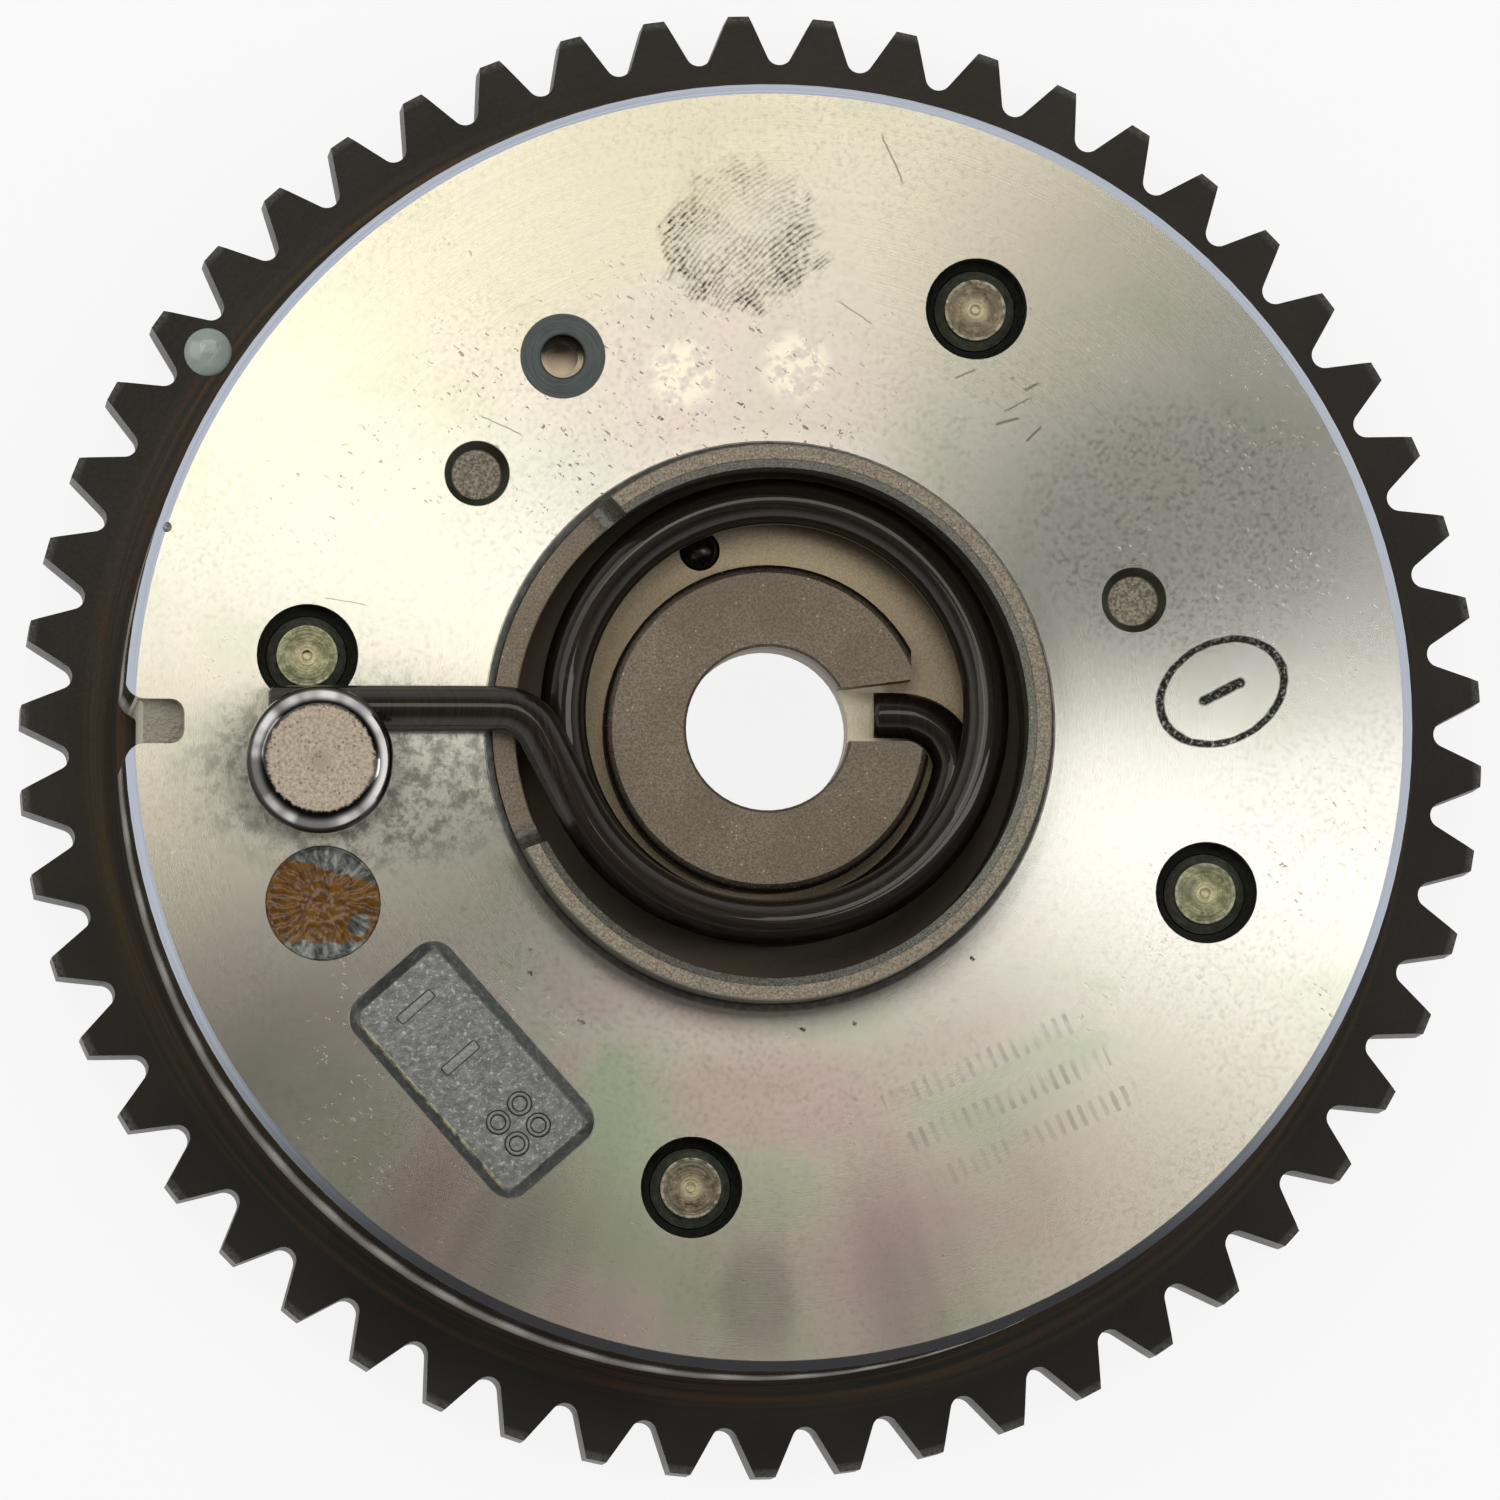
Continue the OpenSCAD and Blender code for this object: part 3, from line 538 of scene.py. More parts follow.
def worn_colour(finish, x, y, z, colour, pits, scratches):
    """A colour of the face with its age, stains and marks laid over it."""
    spot = finish.vector(x, y, z)
    sectors = aged_sectors(finish, x, y)
    colour = finish.mix(sectors * 0.55, colour, (0.52, 0.53, 0.48))
    aged = (finish.noise(spot, 0.05, 2).rise(0.40, 0.62) * 0.3 + 0.22).bound(sectors)
    mottle = finish.noise(spot, 2.4, 5, 0.75).rise(0.47, 0.66) * aged
    colour = finish.mix(mottle * 0.5, colour, (0.20, 0.19, 0.155))
    colour = finish.mix(pits * 0.75, colour, (0.10, 0.09, 0.07))
    stained = finish.oval(x, y, *STAINED).rise(1.1, 0.5)
    stains = finish.noise(spot, 0.9, 5, 0.72).rise(0.44, 0.62) * stained
    colour = finish.mix(stains * 0.75, colour, (0.18, 0.17, 0.145))
    patina = finish.noise(spot, 0.9, 4, 0.7).rise(0.44, 0.54)
    patina = patina * nearest(finish, WORN).rise(3.2, 1.6)
    colour = finish.mix(patina * 0.85, colour, (0.95, 0.91, 0.74))
    colour = finish.mix(grime_marks(finish, x, y, z), colour, (0.10, 0.055, 0.03))
    colour = finish.mix(scratches * 0.7, colour, (0.16, 0.15, 0.13))
    colour = finish.mix(smudge_marks(finish) * 1.6, colour, (0.055, 0.052, 0.042))
    return finish.mix(etched_marks(finish) * 0.45, colour, (0.20, 0.20, 0.19))


def pocket_area(finish):
    """Share of the cast pocket, of the draft of its walls, which is painted dark as shade, and of a
    painted glint along the fillet at its lower left.
    """
    along, over, _ = finish.place(POCKET, POCKET_TURN)
    (half_x, half_y), (floor_x, floor_y) = POCKET_HALF, POCKET_FLOOR_HALF
    area = abs(along).rise(half_x, half_x - 0.2) * abs(over).rise(half_y, half_y - 0.2)
    ends, sides = abs(along).rise(floor_x, floor_x + 0.25), abs(over).rise(floor_y, floor_y + 0.25)
    painted_glint = over.rise(-4.15, -4.02) * over.rise(-3.78, -3.90) * abs(along).rise(8.4, 7.6)
    return area, area * ends.bound(sides), painted_glint


def edge_finish(finish, y, z, arcs):
    """Colour and roughness of the chamfer, and of the side wall, which is smoothest at its top."""
    lathe = finish.noise(finish.vector(0.0, 0.0, z * 6.0), 1.0, 3)
    side = z.rise(FACE_Z - CHAMFER, FACE_Z - CHAMFER - 0.10)
    chamfer = finish.mix(arcs.rise(0.2, 0.8), (0.40, 0.44, 0.51), (0.54, 0.58, 0.65))
    # Painted dark reflection: the chamfer turns near black towards the bottom of the face
    chamfer = finish.mix(y.rise(-12, -42) * 0.97, chamfer, (0.026, 0.025, 0.026))
    wall = finish.mix(lathe.rise(0.3, 0.7), (0.28, 0.26, 0.23), (0.40, 0.38, 0.34))
    lower = z.rise(FACE_Z - 8.0, FACE_Z - 24.0)
    rough = 0.24 - side * 0.19 + side * lower * 0.32 + (lathe - 0.5) * 0.02
    return finish.mix(side, chamfer, wall), rough


class PHASER_OT_housing(bpy.types.Operator):
    """Finish the housing: turned face, bright chamfer, rough casting in the recesses"""

    bl_idname = "phaser.housing"
    bl_label = "Finish Housing"

    def execute(self, context):
        tint = colours()
        f = Finish(
            "turned housing alloy", metallic=1.0, anisotropic=0.92, anisotropic_rotation=0.25)
        x, y, z = f.place()
        r = f.length(x, y)
        spot = f.vector(x, y, z)
        face = z.rise(FACE_Z - 0.12, FACE_Z - 0.04)
        rim = r.rise(HOUSING_R - CHAMFER, HOUSING_R - CHAMFER + 0.08)

        cloud = f.noise(spot, 0.035, 3)
        veil = f.noise(spot, 0.06, 2, distortion=1.2)
        arcs = f.noise(f.vector(x / r * 0.9, y / r * 0.9, r * 8.0), 1.0, 4, 0.65)
        pits = pit_marks(f, x, y, z)
        scratches = reduce(Field.bound, [scratch_marks(f, *scratch) for scratch in SCRATCHES])
        ink = stamp_marks(f)
        colour = film_colour(f, x, y, cloud, veil, arcs)
        colour = worn_colour(f, x, y, z, colour, pits, scratches)
        colour = f.mix(ink, colour, tint.ink)

        grain = f.noise(spot, 4.5, 4, 0.65)
        skin = f.noise(spot, 1.6, 3, 0.6)
        cast = f.mix(skin.rise(0.30, 0.75), tint.casting, (0.36, 0.37, 0.352))
        pocket, draft, painted_glint = pocket_area(f)
        # Painted sparkle: light flecks on the pocket floor stand in for glints
        painted_sparkle = f.noise(spot, 2.6, 4, 0.7).rise(0.55, 0.64) * pocket
        cast = f.mix(painted_sparkle * 0.55, cast, (0.78, 0.78, 0.72))
        # Painted shade: the draft walls of the pocket are darkened
        cast = f.mix(draft * 0.6, cast, (0.080, 0.086, 0.080))
        # Painted glint: a thin light line along the fillet at the lower left of the pocket
        cast = f.mix(painted_glint * skin.rise(0.35, 0.60) * 0.75, cast, (0.85, 0.80, 0.45))
        cast = f.mix(r.rise(NOTCH_R - 0.4, NOTCH_R) * 0.85, cast, (0.46, 0.42, 0.34))
        core_reach = nearest(f, CORES)
        core = core_reach.rise(CORE_R + 0.2, CORE_R)
        core_floor = f.mix(grain.rise(0.38, 0.62), (0.40, 0.34, 0.26), (0.95, 0.86, 0.70))
        # Painted shade: the walls of the core recesses are darkened around their floors
        core_wall = f.mix(
            core_reach.rise(CORE_FLOOR_R, CORE_FLOOR_R - 0.18), (0.075, 0.08, 0.062), core_floor)
        cast = f.mix(core, cast, core_wall)
        # Painted shade: the bolt holes are darkened to near black
        bolt_holes = nearest(f, BOLTS).rise(BOLT_HOLE_R + 0.05, BOLT_HOLE_R - 0.05)
        cast = f.mix(bolt_holes * 0.95, cast, (0.020, 0.022, 0.015))

        edge, edge_rough = edge_finish(f, y, z, arcs)
        shade = f.mix(rim, f.mix(face, cast, colour), edge)
        smooth = 0.24 + (arcs - 0.5) * 0.03 + cloud * 0.06 + pits * 0.3 + ink * 0.3
        rough = smooth * face + (1.0 - face) * (0.42 + grain * 0.2 - pocket * 0.14)
        rough = rough * (1.0 - rim) + rim * edge_rough
        turning = f.noise(f.vector(0.0, 0.0, r * 3.0), 1.0, 2)
        fine = f.bump(turning * 0.3 - scratches, 0.006, 0.25)
        cast_skin = (skin * 0.7 + grain * (core + 0.30)) * (1.0 - face) * (1.0 - rim)
        relief = f.bump(cast_skin - pits * 0.4, 0.16, 0.8, fine)
        dress("housing", f.set(
            base_color=shade, roughness=rough, normal=relief, tangent=f.turned()))
        return {"FINISHED"}


class PHASER_OT_sprocket(bpy.types.Operator):
    """Finish the sprocket: dark oxidised steel, worn on the tooth tips"""

    bl_idname = "phaser.sprocket"
    bl_label = "Finish Sprocket"

    def execute(self, context):
        tint = colours()
        f = Finish("oxidised sprocket steel", metallic=0.55)
        x, y, z = f.place()
        r = f.length(x, y)
        spot = f.vector(x, y, z)
        cloud = f.noise(spot, 0.10, 4)
        grain = f.noise(spot, 3.0, 4, 0.7)
        rings = f.noise(f.vector(x / r * 1.5, y / r * 1.5, r * 2.2), 1.0, 3)
        colour = f.mix(cloud.rise(0.3, 0.7), tint.sprocket, (0.031, 0.027, 0.020))
        # A brown tint near the seat step, partly a painted highlight along the step's edge
        brown = r.rise(50.6, 48.6) * r.rise(46.0, 47.0) * rings.rise(0.38, 0.66)
        colour = f.mix(brown * 0.75, colour, (0.085, 0.050, 0.022))
        worn = r.rise(TIP_R - 0.75, TIP_R - 0.1) * grain.rise(0.30, 0.65)
        colour = f.mix(worn * 0.45, colour, (0.20, 0.19, 0.17))
        rough = 0.42 + (grain - 0.5) * 0.25 + cloud * 0.1
        relief = f.bump(grain * 0.5 + rings * 0.5, 0.05, 0.5)
        dress("sprocket", f.set(base_color=colour, roughness=rough, normal=relief))
        return {"FINISHED"}


class PHASER_OT_rotor(bpy.types.Operator):
    """Finish the rotor: grainy sintered steel with slate machined edges"""

    bl_idname = "phaser.rotor"
    bl_label = "Finish Rotor"

    def execute(self, context):
        tint = colours()
        f = Finish("sintered rotor steel", metallic=0.8)
        x, y, z = f.place()
        r = f.length(x, y)
        spot = f.vector(x, y, z)
        speck = f.noise(spot, 5.5, 3, 0.75)
        cloud = f.noise(spot, 0.15, 3)
        colour = f.mix(speck.rise(0.30, 0.70), tint.sinter, (0.36, 0.30, 0.225))
        colour = f.mix(cloud.rise(0.35, 0.7) * 0.35, colour, (0.14, 0.112, 0.08))
        top = z.rise(RING_Z - 0.08, RING_Z - 0.02)
        ring = f.mix(speck.rise(0.34, 0.66), (0.17, 0.148, 0.112), (0.46, 0.40, 0.31))
        colour = f.mix(top * 0.8, colour, ring)
        # Painted light and shadow on the well floor: light inside the coil, and dark outside it where
        # the coil's shadow falls
        floor = z.rise(WELL_FLOOR_Z + 0.25, WELL_FLOOR_Z + 0.1) * r.rise(BORE_R - 0.2, BORE_R + 0.2)
        bright = f.mix(speck.rise(0.3, 0.7), (0.44, 0.355, 0.23), (0.70, 0.58, 0.40))
        colour = f.mix(floor * 0.9, colour, f.mix(r.rise(14.0, 15.6), bright, (0.105, 0.084, 0.058)))
        # Painted light: the slot floor is made pale, as if lit
        slot = floor * r.rise(9.6, 9.0) * x.rise(5.0, 5.6)
        colour = f.mix(slot * 0.8, colour, (0.86, 0.78, 0.60))
        # Painted shade: the side of the boss is darkened into a dark line around it
        boss_edge = r.rise(BOSS_R - 1.15, BOSS_R - 0.55) * r.rise(BOSS_R + 1.5, BOSS_R + 1.1)
        boss_edge = boss_edge * z.rise(BOSS_Z - 0.10, BOSS_Z - 0.35)
        colour = f.mix(boss_edge * (1.0 - floor) * 0.85, colour, (0.030, 0.024, 0.017))
        # Painted shade: the wall of the well under the ring is darkened
        well_wall = abs(r - WELL_R).rise(0.12, 0.04) * z.rise(RING_Z - 0.7, RING_Z - 1.0)
        colour = f.mix(well_wall * 0.75, colour, (0.075, 0.060, 0.042))
        window = z.rise(WINDOW_Z + 0.05, WINDOW_Z + 0.2) * r.rise(WELL_R - 0.3, WELL_R - 0.1)
        slate = window * (1.0 - top)
        machined = f.mix(speck.rise(0.34, 0.66), tint.slate, (0.27, 0.265, 0.225))
        colour = f.mix(slate * 0.85, colour, machined)
        glint_reach, glint_luck = f.cells(spot, 3.0)
        glint = glint_luck.rise(0.90, 0.93) * glint_reach.rise(0.3, 0.1)
        colour = f.mix(glint * (1.0 - floor) * 0.6, colour, (0.80, 0.72, 0.60))
        rough = 0.50 + (speck - 0.5) * 0.3 - slate * 0.2
        relief = f.bump(speck * (1.0 - slate * 0.8), 0.05, 0.6)
        dress("rotor", f.set(base_color=colour, roughness=rough, normal=relief))
        return {"FINISHED"}


class PHASER_OT_spring(bpy.types.Operator):
    """Model the bias spring as smooth drawn wire, held by the anchor pin"""

    bl_idname = "phaser.spring"
    bl_label = "Model Bias Spring"

    def execute(self, context):
        bm = bmesh.new()
        bm.from_mesh(NODES["bias_spring"].data)
        bmesh.ops.remove_doubles(bm, verts=bm.verts, dist=0.001 * MM)
        bmesh.ops.dissolve_limit(bm, angle_limit=math.radians(0.2), verts=bm.verts, edges=bm.edges)
        bmesh.ops.join_triangles(
            bm, faces=bm.faces, angle_face_threshold=math.radians(40),
            angle_shape_threshold=math.radians(60))
        bm.normal_update()
        crease = bm.edges.layers.float.new("crease_edge")
        swell = sizes().wire_swell
        ends = [face for face in bm.faces if len(face.verts) > 4]
        rims = {edge for face in ends for edge in face.edges}
        for vert in bm.verts:
            vert.co += vert.normal * swell
        for edge in rims:
            edge[crease] = 0.75
        mesh = bmesh_to_mesh(bm, "bias_spring_wire")

        f = Finish(
            "drawn spring wire", metallic=0.5, specular_ior_level=0.12,
            coat_weight=0.6, coat_roughness=0.03)
        x, y, z = f.place(COIL)
        r = f.length(x, y)
        spot = f.vector(x, y, z)
        along = f.vector(x / r * 1.2, y / r * 1.2, r * 7.0 + z * 5.0)
        lines = f.noise(along, 1.0, 3, 0.6)
        mottle = f.noise(spot, 1.3, 4, 0.7)
        colour = f.mix(lines.rise(0.3, 0.7), colours().wire, (0.033, 0.022, 0.0145))
        colour = f.mix(mottle.rise(0.55, 0.75) * 0.5, colour, (0.052, 0.036, 0.025))
        rough = 0.38 + (lines - 0.5) * 0.2 + (mottle - 0.5) * 0.15
        relief = f.bump(lines * 0.5 + mottle * 0.5, 0.02, 0.5)
        wire = add_piece(
            "bias_spring_wire", mesh, None,
            f.set(base_color=colour, roughness=rough, normal=relief))
        subdivision = wire.modifiers.new("Smooth", "SUBSURF")
        subdivision.levels = subdivision.render_levels = 2
        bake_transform(wire)
        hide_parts("bias_spring")
        return {"FINISHED"}


class PHASER_OT_anchor(bpy.types.Operator):
    """Finish the anchor pin: polished edge with painted reflection, around a matt speckled top"""

    bl_idname = "phaser.anchor"
    bl_label = "Finish Anchor Pin"

    def execute(self, context):
        f = Finish("anchor pin steel", metallic=1.0)
        x, y, z = f.place(ANCHOR)
        r = f.length(x, y)
        spot = f.vector(x, y, z)
        rays = f.noise(f.vector(x / r * 9, y / r * 9, r * 0.8), 1.0, 3, 0.7)
        speck_reach, speck_luck = f.cells(spot, 3.6)
        top = (r + (rays - 0.5) * 0.7).rise(4.05, 3.75) * z.rise(FACE_Z + 4.5, FACE_Z + 5.0)
        grain = f.noise(spot, 3.5, 4, 0.7)
        matt = f.mix(grain.rise(0.3, 0.7), colours().anchor, (0.68, 0.585, 0.465))
        dark = speck_luck.rise(0.72, 0.80) * speck_reach.rise(0.42, 0.20)
        matt = f.mix(dark * 0.6, matt, (0.20, 0.15, 0.11))
        middle = f.length(x + 0.1, y + 0.1).rise(1.2, 0.3)
        matt = f.mix(middle * grain.rise(0.4, 0.7) * 0.6, matt, (0.12, 0.09, 0.07))
        # Painted reflection: the rim is dark at its edges and varies between light and dark around its
        # turn
        outline = r.rise(4.95, 5.2).bound(r.rise(4.45, 4.15))
        painted_reflection = f.noise(f.vector(x / r * 1.4, y / r * 1.4), 1.0, 2).rise(0.40, 0.60)
        rim = f.mix(painted_reflection, (0.16, 0.157, 0.152), (0.72, 0.71, 0.69))
        rim = f.mix(outline, rim, (0.030, 0.028, 0.026))
        colour = f.mix(top, rim, matt)
        rough = 0.10 + top * (0.32 + grain * 0.2)
        relief = f.bump(top * (grain * 0.7 - dark), 0.06, 0.8)
        dress("spring_anchor_pin", f.set(base_color=colour, roughness=rough, normal=relief))
        return {"FINISHED"}


class PHASER_OT_bush(bpy.types.Operator):
    """Finish the lock pin bush: ground slate grey steel"""

    bl_idname = "phaser.bush"
    bl_label = "Finish Bush"

    def execute(self, context):
        f = Finish("ground bush steel", metallic=0.85)
        x, y, z = f.place(BUSH)
        r = f.length(x, y)
        spot = f.vector(x, y, z)
        rings = f.noise(f.vector(x / r * 1.5, y / r * 1.5, r * 6.0), 1.0, 3)
        cloud = f.noise(spot, 0.5, 3)
        colour = f.mix(rings.rise(0.3, 0.7), colours().bush, (0.088, 0.10, 0.10))
        # Painted shade and light: the bore is dark inside, and its ledge is light on the lower side
        # only
        inside = r.rise(1.75, 1.65)
        painted_lit_ledge = z.rise(BUSH_LEDGE_Z + 0.2, BUSH_LEDGE_Z + 0.05) * r.rise(1.15, 1.22) * y.rise(0.6, -0.4)
        colour = f.mix(inside, colour, f.mix(painted_lit_ledge, (0.030, 0.027, 0.022), (0.52, 0.43, 0.32)))
        rough = 0.38 + (rings - 0.5) * 0.25 + (cloud - 0.5) * 0.2
        relief = f.bump(rings, 0.02, 0.5)
        dress("lock_pin_bush", f.set(base_color=colour, roughness=rough, normal=relief))
        return {"FINISHED"}


class PHASER_OT_bolts(bpy.types.Operator):
    """Finish the bolts: olive-bronze tips with turned rings and a dimple, with painted highlights in
    the middle and around the edge
    """

    bl_idname = "phaser.bolts"
    bl_label = "Finish Bolts"

    def execute(self, context):
        f = Finish("passivated bolt steel")
        x, y, z = f.place()
        spot = f.vector(x, y, z)
        reach = nearest(f, BOLTS)
        rings = f.noise(f.vector(0.0, 0.0, reach * 5.0), 1.0, 2)
        mottle = f.noise(spot, 1.6, 4, 0.7)
        swirl = f.noise(spot, 0.7, 2, distortion=1.5)
        olive = f.mix(mottle.rise(0.32, 0.68), (0.13, 0.13, 0.06), (0.40, 0.39, 0.24))
        bronze = f.mix(mottle.rise(0.32, 0.68), colours().bolt, (0.31, 0.24, 0.165))
        colour = f.mix(nearest(f, BOLTS[::2]).rise(5.0, 4.0), olive, bronze)
        colour = f.mix(swirl.rise(0.40, 0.65) * 0.7, colour, (0.13, 0.13, 0.085))
        colour = f.mix(rings.rise(0.5, 0.75) * 0.5, colour, (0.09, 0.08, 0.05))
        dimple = reach.rise(0.45, 0.20)
        # Painted highlight: the middle of each tip is lightened around the dimple
        glow = reach.rise(1.25, 0.25)
        colour = f.mix(glow * 0.45, colour, (0.86, 0.76, 0.46))
        # Painted highlight: a light thin line around the edge of each tip
        painted_rim_highlight = reach.rise(BOLT_TIP_R - 0.28, BOLT_TIP_R - 0.16)
        painted_rim_highlight = painted_rim_highlight * reach.rise(BOLT_TIP_R, BOLT_TIP_R - 0.06)
        colour = f.mix(painted_rim_highlight * mottle.rise(0.40, 0.65) * 0.6, colour, (0.50, 0.49, 0.38))
        shank = reach.rise(BOLT_TIP_R, BOLT_TIP_R + 0.08)
        plated = f.mix(mottle.rise(0.3, 0.7), (0.12, 0.135, 0.10), (0.26, 0.28, 0.22))
        colour = f.mix(shank, colour, plated)
        rough = 0.36 + (mottle - 0.5) * 0.35
        relief = f.bump(rings * 0.5 + mottle * 0.3 - dimple, 0.12, 0.8)
        dress("housing_bolts", f.set(
            base_color=colour, roughness=rough, metallic=0.9 - shank * 0.7, normal=relief))
        return {"FINISHED"}


class PHASER_OT_sealant(bpy.types.Operator):
    """Model the sealant: a crinkled disc of amber resin over a ribbed recess"""

    bl_idname = "phaser.sealant"
    bl_label = "Model Sealant"

    def execute(self, context):
        low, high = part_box("face_sealant")
        radius = (high.x - low.x) / 2
        middle = (low + high) / 2
        crinkle = sizes().sealant_crinkle
        bm = bmesh.new()
        line = [
            bm.verts.new((radius * i / SEALANT_RINGS, 0, high.z)) for i in range(SEALANT_RINGS + 1)]
        line.append(bm.verts.new((radius, 0, low.z)))
        line.append(bm.verts.new((0, 0, low.z)))
        edges = [bm.edges.new(pair) for pair in zip(line, line[1:])]
        bmesh.ops.spin(
            bm, geom=line + edges, cent=(0, 0, 0), axis=(0, 0, 1), angle=math.tau,
            steps=SEALANT_STEPS, use_merge=True)
        for vert in bm.verts:
            reach = math.hypot(vert.co.x, vert.co.y)
            if vert.co.z < high.z - 0.01 * MM or reach > radius - 0.02 * MM:
                continue
            turn = math.atan2(vert.co.y, vert.co.x)
            share = reach / radius
            drift = noise.noise(Vector((vert.co.x, vert.co.y, 0)) * 0.9 * PER_MM)
            ribs = 1 - abs(math.sin(SEALANT_RIBS * turn + 2.2 * drift))
            outer = min(1, max(0, (share - 0.40) / 0.2))
            swirl = 0.5 + 0.5 * math.cos(reach * PER_MM * 5.2 + drift * 4)
            fine = noise.noise(Vector((vert.co.x, vert.co.y, 0)) * 2.6 * PER_MM)
            vert.co.z -= crinkle * (
                0.25 + outer * ribs + (1 - outer) * 0.6 * swirl + 0.5 * fine + 0.5)
        bmesh.ops.translate(bm, verts=bm.verts, vec=(middle.x, middle.y, 0))
        mesh = bmesh_to_mesh(bm, "sealant_crinkled")

        f = Finish("amber sealant", specular_ior_level=0.25, coat_weight=0.4, coat_roughness=0.05)
        x, y, z = f.place(SEALANT)
        r = f.length(x, y)
        spot = f.vector(x, y, z)
        swirl = f.noise(spot, 1.1, 4, 0.65, 0.8)
        colour = f.mix(swirl.rise(0.35, 0.7), colours().resin, (0.25, 0.11, 0.009))
        ragged = (f.noise(spot, 1.3, 3) - 0.5) * 1.8
        thin = (y + x * 0.3 + ragged).rise(2.35, 2.75)
        thin = thin.bound((y + ragged).rise(-2.6, -3.0))
        thin = thin.bound((f.length(x - 2.7, y + 1.6) + ragged * 0.5).rise(0.95, 0.7))
        fleck = f.noise(spot, 3.4, 2).rise(0.62, 0.68)
        streaks = f.noise(f.vector(x / r * 5.0, y / r * 5.0, r * 0.6), 1.0, 3)
        bare = f.mix(streaks.rise(0.40, 0.65), (0.07, 0.074, 0.068), (0.26, 0.27, 0.25))
        colour = f.mix(thin.bound(fleck * r.rise(2.0, 3.0) * 0.6), colour, bare)
        relief = f.bump(swirl, 0.07, 0.5)
        rough = 0.34 + (swirl - 0.5) * 0.3
        piece = add_piece(
            "sealant_crinkled", mesh, "housing",
            f.set(base_color=colour, roughness=rough, metallic=thin * 0.5, normal=relief))
        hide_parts("face_sealant")
        return {"FINISHED"}


class PHASER_OT_paint(bpy.types.Operator):
    """Model the dot of pale marking paint on a tooth"""

    bl_idname = "phaser.paint"
    bl_label = "Model Paint Dot"

    def execute(self, context):
        size = sizes()
        bm = bmesh.new()
        bmesh.ops.create_uvsphere(bm, u_segments=40, v_segments=20, radius=size.paint_width / 2)
        bmesh.ops.bisect_plane(
            bm, geom=bm.verts[:] + bm.edges[:] + bm.faces[:], plane_co=(0, 0, 0), plane_no=(0, 0, -1),
            clear_outer=True)
        edge = [e for e in bm.edges if e.is_boundary]
        bmesh.ops.contextual_create(bm, geom=edge)
        bmesh.ops.scale(bm, verts=bm.verts, vec=(1, 1, 2 * size.paint_height / size.paint_width))
        bmesh.ops.translate(bm, verts=bm.verts, vec=(PAINT.x * MM, PAINT.y * MM, RIM_Z * MM))
        mesh = bmesh_to_mesh(bm, "paint_dot")
        f = Finish("marking paint", coat_weight=0.8, coat_roughness=0.08)
        x, y, z = f.place(PAINT)
        cloud = f.noise(f.vector(x, y, z), 0.9, 3)
        colour = f.mix(cloud.rise(0.3, 0.7), colours().paint, (0.36, 0.43, 0.42))
        colour = f.mix(f.length(x, y).rise(1.4, 1.8) * 0.5, colour, (0.20, 0.25, 0.24))
        add_piece(
            "paint_dot", mesh, "housing",
            f.set(base_color=colour, roughness=0.3 + cloud * 0.1, normal=f.bump(cloud, 0.05, 0.4)))
        return {"FINISHED"}


class PHASER_OT_cast_marks(bpy.types.Operator):
    """Model the plain cast marks in the pocket: bars and a group of rings"""

    bl_idname = "phaser.cast_marks"
    bl_label = "Model Cast Marks"

    def execute(self, context):
        height = sizes().mark_height
        floor = (FACE_Z - POCKET_DEPTH) * MM
        bm = bmesh.new()
        for along in BAR_PLACES:
            made = bmesh.ops.create_cube(bm, size=1)["verts"]
            bmesh.ops.scale(bm, verts=made, vec=(BAR_WIDTH * MM, BAR_LENGTH * MM, height))
            bmesh.ops.translate(bm, verts=made, vec=(along * MM, 0, height / 2))
            edges = {edge for vert in made for edge in vert.link_edges}
            upper = [e for e in edges if max(end.co.z for end in e.verts) > height / 2]
            bmesh.ops.bevel(
                bm, geom=upper, offset=BAR_EDGE * MM, affect="EDGES", segments=3, profile=0.5,
                material=-1)
        for across in RINGS_ACROSS:
            for along in RINGS_ALONG:
                before = set(bm.verts)
                made = bmesh.ops.create_circle(bm, segments=10, radius=RING_WIRE_R * MM)["verts"]
                bmesh.ops.rotate(bm, verts=made, matrix=Matrix.Rotation(math.pi / 2, 3, "X"))
                bmesh.ops.translate(bm, verts=made, vec=(RING_R * MM, 0, 0))
                ring = list({edge for vert in made for edge in vert.link_edges})
                bmesh.ops.spin(
                    bm, geom=made + ring, cent=(0, 0, 0), axis=(0, 0, 1), angle=math.tau,
                    steps=28, use_merge=True)
                made = [v for v in bm.verts if v not in before]
                bmesh.ops.translate(bm, verts=made, vec=(along * MM, across * MM, 0))
        bmesh.ops.rotate(bm, verts=bm.verts, matrix=Matrix.Rotation(POCKET_TURN, 3, "Z"))
        bmesh.ops.translate(bm, verts=bm.verts, vec=(POCKET.x * MM, POCKET.y * MM, floor))
        mesh = bmesh_to_mesh(bm, "cast_marks")
        f = Finish("raised casting", metallic=1.0)
        x, y, z = f.place()
        grain = f.noise(f.vector(x, y, z), 4.5, 4, 0.65)
        colour = f.mix(grain.rise(0.3, 0.75), (0.25, 0.255, 0.245), (0.46, 0.47, 0.45))
        base = FACE_Z - POCKET_DEPTH
        # Painted shade: the lower part of each mark is darkened, which outlines it
        colour = f.mix(z.rise(base + 0.23, base + 0.14), colour, (0.040, 0.042, 0.038))
        add_piece(
            "cast_marks", mesh, "housing",
            f.set(base_color=colour, roughness=0.40 + grain * 0.2, normal=f.bump(grain, 0.08, 0.7)))
        return {"FINISHED"}


